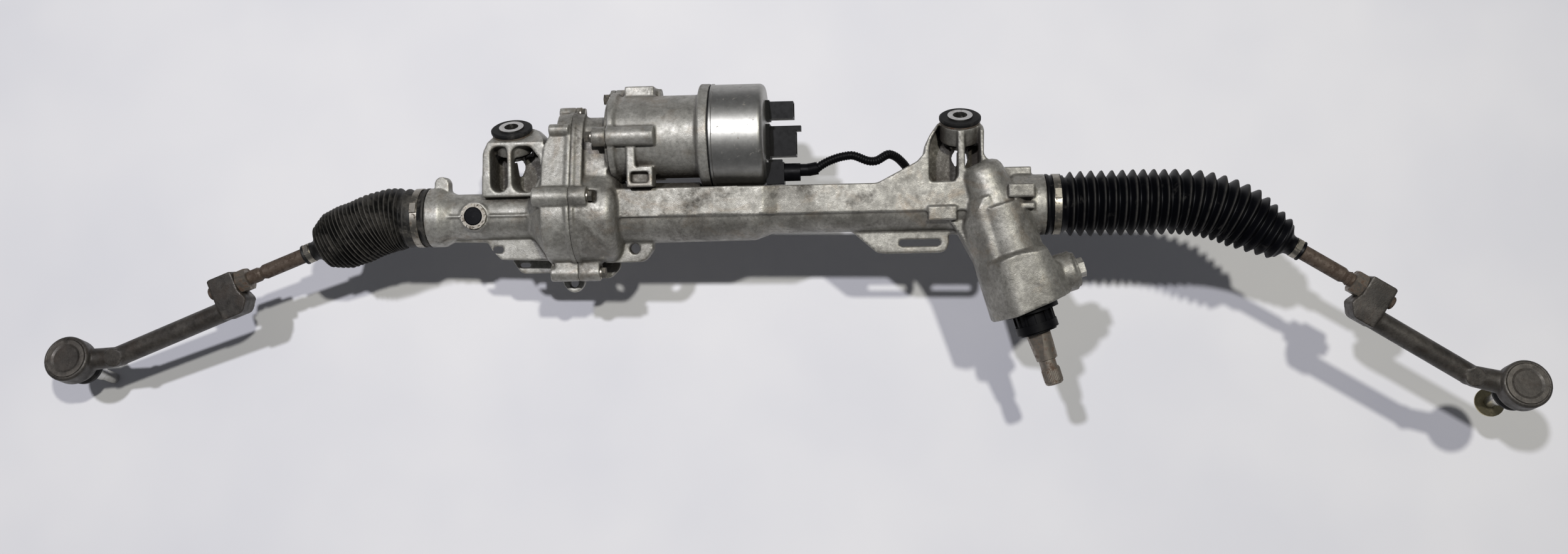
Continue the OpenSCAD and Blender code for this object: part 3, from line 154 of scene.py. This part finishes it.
def cast_metal(name, light, dark, dirt_and_shade_colour, dirt, grain, metallic=0.55, stain=BROWN_STAIN):
    """Die-cast alloy: blotches, brown stains, grime in patches, painted shade that darkens the hollows and
    recesses in the dirt colour, rubbed edges.
    """
    p = Paint(name, metallic=metallic)
    body = p.mix(p.span(p.noise(26, 7, 0.62, 0.4), 0.36, 0.64), dark, light)
    fine = p.noise(3.2, 6, 0.7)
    body = p.mix(p.span(fine, 0.42, 0.72, 0, 0.65), body, tuple(0.55 * c for c in dark))
    body = p.mix(p.span(p.noise(33, 8, 0.7, 0.9), 0.52, 0.72, 0, 0.55), body, stain)
    pale = p.math("MULTIPLY", p.span(p.noise(1.5, 4, 0.7), 0.60, 0.70),
                  p.span(p.noise(38, 4), 0.42, 0.6))
    body = p.mix(p.math("MULTIPLY", pale, 0.6), body, tuple(min(1, 1.5 * c) for c in light))
    patches = p.span(p.noise(44, 9, 0.68, 0.6), 0.66 - 0.2 * dirt, 0.80 - 0.14 * dirt)
    # Painted shade: concave creases, found by the mesh's pointiness, are darkened with the dirt colour
    painted_crease_shade = p.span(p.edges(), 0.492, 0.44)
    grime_and_painted_shade = p.math("MAXIMUM", p.math("MULTIPLY", patches, p.span(fine, 0.3, 0.62, 0.35, 1)), painted_crease_shade)
    # Painted shade: recesses found by ambient occlusion are darkened with the dirt colour, broken up by fine noise
    shade = p.add("ShaderNodeAmbientOcclusion", samples=8)
    p.feed(shade.inputs["Distance"], SHADE_REACH * MM)
    deep = p.span(shade.outputs["AO"], 0.66, 0.30)
    grime_and_painted_shade = p.math("MAXIMUM", grime_and_painted_shade, p.math("MULTIPLY", deep, p.span(fine, 0.25, 0.5, 0.55, 1)))
    # Patchy grime and the painted shade of creases and recesses, laid on in one dirt colour
    body = p.mix(p.math("MULTIPLY", grime_and_painted_shade, 0.88), body, dirt_and_shade_colour)
    rub = p.math("MULTIPLY", p.span(p.edges(), 0.53, 0.60), p.span(p.noise(9, 5), 0.35, 0.6))
    body = p.mix(p.math("MULTIPLY", rub, 0.7), body, tuple(min(1, 1.7 * c) for c in light))
    p.set("Base Color", body)
    p.set("Roughness", p.span(p.math("ADD", p.noise(7, 5), p.math("MULTIPLY", grime_and_painted_shade, 0.5)),
                              0.3, 1.0, 0.34, 0.8))
    low = p.bump(p.noise(9, 4, 0.5), 0.4, 0.5)
    p.set("Normal", p.bump(p.noise(grain, 5, 0.65), 0.6, 0.28, low))
    return p.material


def plain_metal(name, colour, roughness, spots=None, spot_share=0.35, scratch=0.12, metallic=1.0):
    """Plated or bare steel; spots is the colour of the rust or grime that covers spot_share of it."""
    p = Paint(name, metallic=metallic)
    body = p.mix(p.span(p.noise(6, 6, 0.65), 0.35, 0.7), tuple(0.78 * c for c in colour), colour)
    if spots:
        where = p.span(p.noise(5, 8, 0.72, 0.3), 0.62 - 0.22 * spot_share, 0.72 - 0.16 * spot_share)
        body = p.mix(where, body, spots)
        p.set("Metallic", p.span(where, 0, 1, metallic, metallic * 0.25))
        p.set("Roughness", p.span(where, 0, 1, roughness, min(1, roughness + 0.35)))
    else:
        p.set("Roughness", p.span(p.noise(4, 5), 0.3, 0.7, roughness * 0.8, roughness * 1.25))
    p.set("Base Color", body)
    p.set("Normal", p.bump(p.noise(1.1, 4, 0.6), scratch, 0.2))
    return p.material


def rubber(name, colour, dust, dust_share, gloss, crest=0.0, shine=0.5):
    """Black rubber under a film of dust; crest is how pale the ridges of a folded piece are made, partly rubbed
    wear and partly a painted highlight, and the valleys get thinner dust as painted shade.
    """
    p = Paint(name, roughness=gloss, Specular_IOR_Level=shine)
    film = p.span(p.noise(20, 8, 0.65, 0.8), 0.62 - 0.3 * dust_share, 0.78 - 0.2 * dust_share)
    film = p.math("MULTIPLY", film, p.span(p.noise(2.2, 5, 0.7), 0.3, 0.65, 0.25, 1))
    if crest:
        ridge = p.add("ShaderNodeAttribute", attribute_name="ridge").outputs["Fac"]
        # Painted highlight and wear: the crests of the folds, found by the ridge attribute, turn pale
        crest_wear_and_highlight = p.math("MULTIPLY", p.span(ridge, 0.72, 1.0), p.span(p.noise(6, 4), 0.3, 0.55, 0.4, 1))
        # Painted shade: the dust is thinned in the valleys of the folds so that they stay darker
        film = p.math("MAXIMUM", p.math("MULTIPLY", film, p.span(ridge, 0, 0.5, 0.35, 1)),
                      p.math("MULTIPLY", crest_wear_and_highlight, crest))
    p.set("Base Color", p.mix(film, colour, dust))
    p.set("Roughness", p.span(film, 0, 1, gloss, 0.85))
    p.set("Normal", p.bump(p.noise(2.5, 4, 0.6), 0.15, 0.2))
    return p.material


def moulding(name, colour, roughness, shine=0.5):
    """Moulded plastic with a fine grain."""
    p = Paint(name, Specular_IOR_Level=shine)
    p.set("Base Color", p.mix(p.span(p.noise(12, 6, 0.65), 0.45, 0.75, 0, 0.35), colour,
                              tuple(c * 2.2 + 0.002 for c in colour)))
    p.set("Roughness", p.span(p.noise(5, 4), 0.3, 0.7, roughness * 0.85, roughness * 1.2))
    p.set("Normal", p.bump(p.noise(0.9, 3), 0.14, 0.15))
    return p.material


# Colour of the castings' grime, also used for the shade painted into their creases and recesses
DIRT_AND_SHADE = (0.038, 0.030, 0.023)
cast_rack = cast_metal("cast_rack", (0.33, 0.32, 0.29), (0.165, 0.158, 0.14), DIRT_AND_SHADE, 0.55, 1.1)
cast_drive = cast_metal("cast_drive", (0.42, 0.41, 0.375), (0.22, 0.213, 0.19), DIRT_AND_SHADE, 0.45, 1.1)
cast_motor = cast_metal("cast_motor", (0.40, 0.39, 0.36), (0.25, 0.243, 0.22), DIRT_AND_SHADE, 0.28, 0.9)
forging = cast_metal("forging", (0.075, 0.067, 0.058), (0.028, 0.0245, 0.021), (0.025, 0.018, 0.013),
                     0.45, 1.3, metallic=0.35, stain=(0.045, 0.028, 0.018))
rust = plain_metal("rolled_rod", (0.105, 0.078, 0.058), 0.5, (0.045, 0.028, 0.018), 0.8, 0.5, 0.35)
can_steel = plain_metal("can_steel", (0.44, 0.435, 0.41), 0.42, (0.15, 0.125, 0.10), 0.12, 0.06)
zinc = plain_metal("zinc_band", (0.36, 0.335, 0.285), 0.36, (0.08, 0.062, 0.045), 0.5, 0.2)
yellow_zinc = plain_metal("yellow_zinc", (0.50, 0.44, 0.27), 0.34, (0.12, 0.09, 0.05), 0.35, 0.15)
bright = plain_metal("bright_steel", (0.56, 0.555, 0.535), 0.28, (0.14, 0.10, 0.07), 0.2, 0.1)
worn_steel = plain_metal("worn_steel", (0.25, 0.22, 0.185), 0.42, (0.08, 0.048, 0.03), 0.6, 0.35, 0.8)
dark_metal = plain_metal("dark_metal", (0.075, 0.07, 0.065), 0.45, (0.05, 0.04, 0.03), 0.4, 0.3, 0.6)
# crest sets how strongly the fold crests are painted pale, as wear and painted highlight
gaiter_clean = rubber("gaiter_clean", (0.0016, 0.0017, 0.0026), (0.060, 0.057, 0.052), 0.06, 0.42,
                      crest=0.6, shine=0.14)
gaiter_dusty = rubber("gaiter_dusty", (0.0065, 0.0064, 0.0062), (0.095, 0.088, 0.077), 0.58, 0.5,
                      crest=0.8, shine=0.25)
bush_black = rubber("bush_black", (0.006, 0.006, 0.006), (0.06, 0.056, 0.05), 0.3, 0.6, 0.0, 0.2)
plastic = moulding("black_plastic", (0.0028, 0.0028, 0.0034), 0.42, 0.10)
port_black = moulding("port_black", (0.003, 0.0032, 0.0045), 0.5, 0.10)
copper = plain_metal("winding_copper", (0.45, 0.2, 0.09), 0.4)
polymer = moulding("slide_polymer", (0.6, 0.56, 0.47), 0.5)

LOOK = {
    cast_rack: ["rack_housing", "tower_plug", "yoke_nut"],
    cast_drive: ["drive_housing"],
    cast_motor: ["motor_housing", "control_unit"],
    can_steel: ["ecu_cover"],
    zinc: ["gaiter_clamps_large", "small_clamp_left", "small_clamp_right", "port_ring",
           "housing_screws", "motor_screws"],
    yellow_zinc: ["stud_nut_right"],
    bright: ["bush_sleeves", "ball_stud_left", "ball_stud_right", "rack_bar", "torsion_bar",
             "yoke_spring", "motor_bearings", "nut_bearing", "pinion_bearings", "ball_nut",
             "bearing_lock_ring", "rack_joint_left", "rack_joint_right", "drive_pulley",
             "nut_pulley", "sensor_rotor"],
    worn_steel: ["bush_shells", "input_shaft", "pinion_shaft", "jam_nut_left", "jam_nut_right"],
    rust: ["tie_rod_left", "tie_rod_right"],
    forging: ["rod_end_left", "rod_end_right", "end_cap_left", "end_cap_right"],
    dark_metal: ["rotor"],
    bush_black: ["bush_rubbers", "stud_boot_left", "stud_boot_right", "ecu_seal", "toothed_belt"],
    gaiter_clean: ["gaiter_left", "gaiter_right"],
    plastic: ["power_connector", "signal_connector", "conduit_plug", "sensor_conduit",
              "sensor_plug", "dust_cap", "torque_sensor"],
    port_black: ["port_cap"],
    copper: ["stator"],
    polymer: ["rack_bushes", "yoke"],
}


SHARP_ANGLE = 32


def dress(obj, material):
    obj.data.materials.clear()
    obj.data.materials.append(material)


for material, names in LOOK.items():
    for name in names:
        dress(nodes[name], material)
        nodes[name].data.shade_smooth()
        try:
            nodes[name].data.set_sharp_from_angle(angle=math.radians(SHARP_ANGLE))
        except (AttributeError, TypeError):
            pass


# Meshes
def new_object(name, mesh):
    obj = bpy.data.objects.new(name, mesh)
    bpy.context.scene.collection.objects.link(obj)
    return obj


def apply_modifiers(obj):
    graph = bpy.context.evaluated_depsgraph_get()
    mesh = bpy.data.meshes.new_from_object(obj.evaluated_get(graph))
    obj.modifiers.clear()
    old = obj.data
    obj.data = mesh
    bpy.data.meshes.remove(old)


def recast(name, cad_name, body, material, voxel, smooth=4):
    """A casting or forging with the CAD form, softened as it comes out of a mould; voxel is in mm."""
    obj = new_object(name, nodes[cad_name].data.copy())
    remesh = obj.modifiers.new("skin", "REMESH")
    remesh.mode = "VOXEL"
    remesh.voxel_size = voxel * MM * COARSE
    remesh.use_smooth_shade = True
    soften = obj.modifiers.new("soften", "SMOOTH")
    soften.factor = 0.5
    soften.iterations = smooth
    apply_modifiers(obj)
    dress(obj, material)
    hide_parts(cad_name)
    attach(obj, body)
    return obj


def rings_mesh(name, rings, loop):
    """A mesh from equal rings of points; loop closes the last ring onto the first."""
    sides = len(rings[0])
    points = [p for ring in rings for p in ring]
    count = len(rings)
    faces = []
    for i in range(count if loop else count - 1):
        a, b = i * sides, ((i + 1) % count) * sides
        faces += [(a + k, a + (k + 1) % sides, b + (k + 1) % sides, b + k) for k in range(sides)]
    if not loop:
        faces.append(tuple(range(sides))[::-1])
        faces.append(tuple(range((count - 1) * sides, count * sides)))
    mesh = bpy.data.meshes.new(name)
    mesh.from_pydata([tuple(p) for p in points], [], faces)
    mesh.shade_smooth()
    tidy = bmesh.new()
    tidy.from_mesh(mesh)
    bmesh.ops.recalc_face_normals(tidy, faces=tidy.faces)
    tidy.to_mesh(mesh)
    tidy.free()
    return new_object(name, mesh)


# Camera, as worked out from the photograph
camera_axes = Matrix(((0.997560, 0.018733, 0.067252),
                      (0.047897, 0.517197, -0.854525),
                      (-0.050791, 0.855661, 0.515038)))
CAMERA_PLACE = (0.36974, -1.26637, 0.59510)
CAMERA_LENS = 31.536
camera_data = bpy.data.cameras.new("photo_camera")
camera_data.sensor_fit = "HORIZONTAL"
camera_data.sensor_width = 36
camera_data.lens = CAMERA_LENS
camera_data.clip_end = 50
camera = bpy.data.objects.new("photo_camera", camera_data)
camera.matrix_world = Matrix.Translation(CAMERA_PLACE) @ camera_axes.to_4x4()
bpy.context.scene.collection.objects.link(camera)
bpy.context.scene.camera = camera

# Corrugated lead from the cover's end, behind the castings, to the sensor below the tower
COVER_END_X, PINION_X = 261, 492
LEAD_RADIUS = 4.6
LEAD_COVER = [(47.4, 40, 8), (50.4, 41, 8), (56, 44.8, 8.1), (63, 48.3, 8.5), (72.8, 51.6, 9),
              (82.6, 53.3, 9), (87.4, 53.2, 8.5), (92.2, 51.7, 8), (96.9, 49.7, 7),
              (101.8, 47.9, 6), (106.5, 47.3, 4.5), (111.4, 48.1, 2.5)]
LEAD_PINION = [(-114.7, 50.9, 0), (-109.7, 53.9, -3), (-105.8, 54.4, -6), (-100, 52, -11),
               (-95.1, 48, -16), (-90.1, 42.5, -22), (-84.5, 33, -29), (-78, 21, -35),
               (-70, 7, -39.5), (-61, -6, -42), (-50, -14, -43), (-38, -19, -44),
               (-26, -24, -45), (-14, -29, -46), (-3, -34, -46), (5, -38, -43),
               (9.6, -41, -36.6), (13.2, -44.9, -33.6), (14.5, -49.2, -33.24)]
lead_points = ([place(x + COVER_END_X, y, z) for x, y, z in LEAD_COVER]
               + [place(x + PINION_X, y, z) for x, y, z in LEAD_PINION])


def smooth_line(points, step):
    """Points about step metres apart along a smooth curve through the given points."""
    line = []
    ends = [2 * points[0] - points[1]] + points + [2 * points[-1] - points[-2]]
    for a, b, c, d in zip(ends, ends[1:], ends[2:], ends[3:]):
        parts = max(1, round((c - b).length / step))
        for i in range(parts):
            t = i / parts
            line.append(0.5 * (2 * b + (c - a) * t + (2 * a - 5 * b + 4 * c - d) * t * t
                               + (3 * b - a - 3 * c + d) * t ** 3))
    return line + [points[-1]]


def swept_rings(line, radii, sides):
    """Rings square to a line, carried along it without a twist."""
    rings = []
    side = None
    for i, (point, radius) in enumerate(zip(line, radii)):
        ahead = (line[min(i + 1, len(line) - 1)] - line[max(i - 1, 0)]).normalized()
        side = ahead.orthogonal() if side is None else side
        side = (side - ahead * side.dot(ahead)).normalized()
        other = ahead.cross(side)
        rings.append([point + (side * math.cos(2 * math.pi * k / sides)
                               + other * math.sin(2 * math.pi * k / sides)) * radius
                      for k in range(sides)])
    return rings


RIB_PITCH = 2.6
# How far under the lead's full radius each ring of one rib lies
RIB_DEPTHS = (0.75, 0.3, 0.05, 0.3)
LEAD_SIDES = 24
lead_line = smooth_line(lead_points, RIB_PITCH * MM / len(RIB_DEPTHS))
rib_radii = [(LEAD_RADIUS - RIB_DEPTHS[i % len(RIB_DEPTHS)]) * MM for i in range(len(lead_line))]
lead = rings_mesh("sensor_lead", swept_rings(lead_line, rib_radii, LEAD_SIDES), False)
dress(lead, plastic)
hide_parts("sensor_conduit")
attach(lead, "housing")


# Gaiters
SMALL_CUFF_START, SMALL_CUFF_LEN = 86, 14
FOLDS, FOLD_STEPS, CONE_LEN = 22, 12, 7
GAITER_SIDES = 112
# A length past each gaiter's seam at the inner ball, where a point is read but nothing is drawn from it
BEND_LEN = 42


class Gaiter:
    """The line of a folded tube that runs along the rack and turns onto the tie rod.

    start is its seat's edge, ball the inner ball's place and droop the rod's angle. reach is how
    far before the ball the turn starts, seat_len the cuff's length and flare how far the folds lean.
    """

    def __init__(self, start, side, ball, droop, reach, seat_len, flare):
        self.start, self.side, self.droop = start, side, math.radians(droop)
        self.flat = abs(ball - start) - reach
        self.bend = reach / math.tan(self.droop / 2)
        self.total = self.flat + self.bend * self.droop + SMALL_CUFF_START - reach
        self.seat_len, self.flare = seat_len, flare

    def centre(self, s):
        """Place and direction of the line at length s: along, across and turned."""
        arc = self.bend * self.droop
        if s <= self.flat:
            return s, 0.0, 0.0
        if s <= self.flat + arc:
            a = (s - self.flat) / self.bend
            return self.flat + self.bend * math.sin(a), -self.bend * (1 - math.cos(a)), -a
        r = s - self.flat - arc
        return (self.flat + self.bend * math.sin(self.droop) + r * math.cos(self.droop),
                -self.bend * (1 - math.cos(self.droop)) - r * math.sin(self.droop), -self.droop)

    def ring(self, s, radius, lean=0.0):
        x, y, a = self.centre(s)
        a += lean
        points = []
        for k in range(GAITER_SIDES):
            t = 2 * math.pi * k / GAITER_SIDES
            c, z = radius * math.cos(t), radius * math.sin(t)
            points.append(place(self.start + self.side * (x - c * math.sin(a)),
                                y + c * math.cos(a), z))
        return points

    def point(self, s):
        x, y, _ = self.centre(s)
        return place(self.start + self.side * x, y, 0)


def fold_shape(u, crest):
    """Height of one fold from 0 in its valley to 1 on its crest, at u of its pitch."""
    peak = 0.56
    v = u / peak if u < peak else (1 - u) / (1 - peak)
    v = max(0.0, min(1.0, v))
    tent = v ** 1.15
    rounded = 0.5 - 0.5 * math.cos(math.pi * v)
    return (1 - crest) * tent + crest * rounded


def gaiter(name, g, material, cad, rod_body, split, crest, depth, radii, start_s, end_s):
    """Two pieces: from the casting to the rack, and from the rack onto the tie rod."""
    end = g.total + SMALL_CUFF_LEN
    f0, f1 = g.seat_len + 3, g.total - CONE_LEN
    pitch = (f1 - f0) / FOLDS
    outer = [(0, 29.6), (0.6, 30.6), (2.4, 30.6), (3.4, 30.0), (4.6, 29.2)]
    outer += [(g.seat_len - 4.2, 29.0), (g.seat_len - 3.4, 30.4), (g.seat_len - 1.6, 30.4),
              (g.seat_len - 0.8, 29.0), (g.seat_len + 1, 29.0)]
    for i in range(FOLDS):
        t = i / (FOLDS - 1)
        peak = np.interp(t, *radii) + 0.25 * math.sin(7.3 * i + 1.1)
        deep = depth * (1 if t < 0.8 else 1 - 0.35 * (t - 0.8) / 0.2)
        for k in range(FOLD_STEPS):
            u = k / FOLD_STEPS
            outer.append((f0 + (i + u) * pitch, peak - deep * (1 - fold_shape(u, crest))))
    end_r = outer[-1][1]
    outer += [(f1 + 0.6, min(end_r, 18.5)), (f1 + 3, 14.5), (g.total - 1.5, 11.2),
              (g.total, 10.4), (g.total + 2, 9.9), (end - 2, 9.9), (end - 1, 10.5), (end, 10.3),
              (end, 8.3)]
    inner_r = [(0, 27.4), (g.seat_len + 2, 27.0), (g.seat_len + 5, 26), (0.66 * g.total, 25.5),
               (f1 - 5.5 * pitch, 21), (f1 - 2, 14.5), (g.total - 1, 9.2), (end, 8.3)]

    def radius_at(line, s):
        return float(np.interp(s, [q[0] for q in line], [q[1] for q in line]))

    def lean(s):
        t = max(0.0, min(1.0, (s - g.seat_len) / (g.total - g.seat_len)))
        return -math.radians(g.flare) * math.sin(math.pi * t) ** 1.3

    parts = (("a", 0, split, "housing", "rack", start_s, end_s),
             ("b", split, end, "rack", rod_body, split, split + BEND_LEN))
    for tag, low, high, body_a, body_b, from_s, to_s in parts:
        run = [(s, r) for s, r in outer if low - 1e-6 <= s <= high + 1e-6]
        edge = radius_at(outer, split)
        if tag == "a":
            run = [q for q in run if q[0] < high - 0.05] + [(high, edge)]
        else:
            run = [(low, edge)] + [q for q in run if q[0] > low + 0.05]
        inside = np.linspace(high, low, max(4, int((high - low) / 6)))
        inside = [(s, radius_at(inner_r, s)) for s in inside]
        rings = [g.ring(s, r, lean(s)) for s, r in run + inside]
        piece = rings_mesh(f"{name}_{tag}", rings, True)
        # Height of each ring within its fold; the gaiter materials use it to paint a highlight on the crests and
        # shade in the valleys
        ridge = piece.data.attributes.new("ridge", "FLOAT", "POINT")
        heights = []
        for s, r in run:
            top = float(np.interp((s - g.seat_len) / (g.total - g.seat_len), *radii))
            heights.append(max(0.0, 1 - (top - r) / depth))
        heights += [0.0] * len(inside)
        ridge.data.foreach_set("value", np.repeat(heights, GAITER_SIDES))
        dress(piece, material)
        g.point(from_s)
        g.point(to_s)
        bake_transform(piece)
    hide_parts(cad)


LEFT_BALL_X, RIGHT_BALL_X = -131, 706
left_g = Gaiter(start=-88.3, side=-1, ball=LEFT_BALL_X, droop=21, reach=17, seat_len=24.7, flare=8)
right_g = Gaiter(start=539.3, side=1, ball=RIGHT_BALL_X, droop=31.5, reach=41, seat_len=16.7, flare=3)
gaiter("bellows_left", left_g, gaiter_dusty, "gaiter_left", "left_rod", 47, 0.75, 5.6,
       ([0, 0.1, 0.6, 0.8, 1], [31.5, 33.0, 33.5, 32.5, 23.5]), 3, 44)
gaiter("bellows_right", right_g, gaiter_clean, "gaiter_right", "right_rod", 168, 0.12, 7.4,
       ([0, 0.1, 0.8, 1], [32.5, 33.5, 33.3, 23]), 3, 164)

# Threads, spline and collar
PITCH_STEP = 0.375
SHAFT_TEETH = 36


def ridged(name, start, end, radii, sides, body, material, tooth=0.0):
    """A turned piece between two points, whose radius steps through radii.

    With a tooth height, as a share of the radius, each four sides make a tooth along the piece.
    """
    span = (end - start).length
    count = max(2, round(span / (PITCH_STEP * MM)))
    line = [start + (end - start) * (i / count) for i in range(count + 1)]
    rings = swept_rings(line, [radii[i % len(radii)] * MM for i in range(count + 1)], sides)
    if tooth:
        rings = [[centre + (q - centre) * (1 + tooth * (1 if k % 4 < 2 else 0))
                  for k, q in enumerate(ring)] for centre, ring in zip(line, rings)]
    piece = rings_mesh(name, rings, False)
    dress(piece, material)
    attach(piece, body)
    return piece


THREAD_RADII = (7.0, 7.3, 7.55, 7.3)
THREAD_START = 152.5
HALF_NUT = 6.5


def rod_point(side, along):
    """A point on a tie rod's axis, that far from its inner ball."""
    gaiter_of = left_g if side < 0 else right_g
    ball = LEFT_BALL_X if side < 0 else RIGHT_BALL_X
    return place(ball + side * along * math.cos(gaiter_of.droop),
                 -along * math.sin(gaiter_of.droop), 0)


for side, tag in ((-1, "left"), (1, "right")):
    nut = Vector(np.mean([tuple(v.co) for v in nodes[f"jam_nut_{tag}"].data.vertices], axis=0))
    nut_start = (nut - rod_point(side, 0)).length / MM - HALF_NUT
    ridged(f"rod_thread_{tag}", rod_point(side, THREAD_START), rod_point(side, nut_start),
           THREAD_RADII, 40, f"{tag}_rod", rust)

shaft_mount = next(m for m in frame["record"]["mounts"] if m["name"] == "input_shaft_end")
shaft_middle = Vector(shaft_mount["pos_m"])
shaft_axis = Vector(shaft_mount["axis"]).normalized()
if shaft_axis.dot(shaft_middle - place(PINION_X, 0, 0)) < 0:
    shaft_axis = -shaft_axis
shaft_body = next(j["child"] for j in frame["joints"] if j["name"] == "input_spin")
ridged("shaft_spline", shaft_middle - shaft_axis * 6.6 * MM, shaft_middle + shaft_axis * 5.4 * MM,
       (9.05,), 4 * SHAFT_TEETH, shaft_body, worn_steel, tooth=0.035)

# Collar that holds the lead on its plug
ridged("lead_collar", place(COVER_END_X + 42, 40, 8), place(COVER_END_X + 51.5, 41.6, 8),
       (6.6, 6.6, 6.3, 6.3), 32, "housing", plastic)

# Castings and forgings
recast("casting_rack", "rack_housing", "housing", cast_rack, 1.25)
recast("casting_drive", "drive_housing", "housing", cast_drive, 1.2)
recast("casting_motor", "motor_housing", "housing", cast_motor, 1.2)
for tag in ("left", "right"):
    recast(f"forging_{tag}", f"rod_end_{tag}", f"{tag}_rod", forging, 0.9, 5)

# The part lies on a pale sheet that faces the camera, a little tipped away at the top
right = camera_axes.col[0].normalized()
back = camera_axes.col[2].normalized()
up = camera_axes.col[1].normalized()
SHEET_TIP = 9.6
SHEET_REACH = 4.0
tip = math.radians(SHEET_TIP)
sheet_normal = (math.cos(tip) * back + math.sin(tip) * up).normalized()
sheet_up = (math.cos(tip) * up - math.sin(tip) * back).normalized()
lowest = min(min(sheet_normal.dot(v.co) for v in o.data.vertices) for o in nodes.values())
middle = Vector((0.27, -0.06, -0.06))
on_sheet = middle + sheet_normal * (lowest - 0.001 - middle.dot(sheet_normal))


def sheet_material():
    """Pale cloth with a few specks, clear from behind so that the part is seen from there."""
    p = Paint("pale_sheet", roughness=0.75, Specular_IOR_Level=0.25)
    tone = p.mix(p.span(p.noise(260, 3, 0.5), 0.35, 0.65), (0.70, 0.70, 0.735), (0.76, 0.755, 0.775))
    specks = p.span(p.noise(5, 8, 0.8), 0.70, 0.76, 0, 0.35)
    where = p.span(p.noise(150, 3, 0.6), 0.5, 0.62)
    tone = p.mix(p.math("MULTIPLY", specks, where), tone, (0.35, 0.33, 0.31))
    p.set("Base Color", tone)
    p.set("Normal", p.bump(p.noise(120, 3), 0.3, 2))
    out = p.tree.nodes["Material Output"]
    clear = p.add("ShaderNodeBsdfTransparent")
    pick = p.add("ShaderNodeMixShader")
    p.feed(pick.inputs[0], p.add("ShaderNodeNewGeometry").outputs["Backfacing"])
    p.tree.links.new(p.shader.outputs[0], pick.inputs[1])
    p.tree.links.new(clear.outputs[0], pick.inputs[2])
    p.tree.links.new(pick.outputs[0], out.inputs[0])
    return p.material


sheet = bpy.data.meshes.new("sheet")
sheet.from_pydata([tuple(on_sheet + right * a * SHEET_REACH + sheet_up * b * SHEET_REACH)
                   for a, b in ((-1, -1), (1, -1), (1, 1), (-1, 1))], [], [(0, 1, 2, 3)])
floor = new_object("sheet", sheet)
dress(floor, sheet_material())


def lamp(name, along, above, height, energy, width, tint):
    """An area lamp at a place over the sheet, in metres, that faces the part."""
    data = bpy.data.lights.new(name, "AREA")
    data.energy = energy
    data.color = tint
    data.shape = "DISK"
    data.size = width
    obj = bpy.data.objects.new(name, data)
    where = on_sheet + right * along + sheet_up * above + sheet_normal * height
    facing = (where - middle).to_track_quat("Z", "Y").to_matrix().to_4x4()
    obj.matrix_world = Matrix.Translation(where) @ facing
    bpy.context.scene.collection.objects.link(obj)


LAMP_ABOVE, LAMP_HEIGHT, LAMP_WIDTH = 0.35, 3.2, 0.13
lamp("lamp_left", -0.80, LAMP_ABOVE, LAMP_HEIGHT, 55, LAMP_WIDTH, (0.93, 0.93, 1.0))
lamp("lamp_right", 0.55, LAMP_ABOVE, LAMP_HEIGHT, 51, LAMP_WIDTH, (1.0, 0.985, 0.90))

world = bpy.data.worlds.new("room")
bpy.context.scene.world = world
world.use_nodes = True
background = world.node_tree.nodes["Background"]
background.inputs["Color"].default_value = (0.80, 0.82, 0.88, 1)
background.inputs["Strength"].default_value = 0.12
bpy.context.scene.view_settings.view_transform = "Standard"
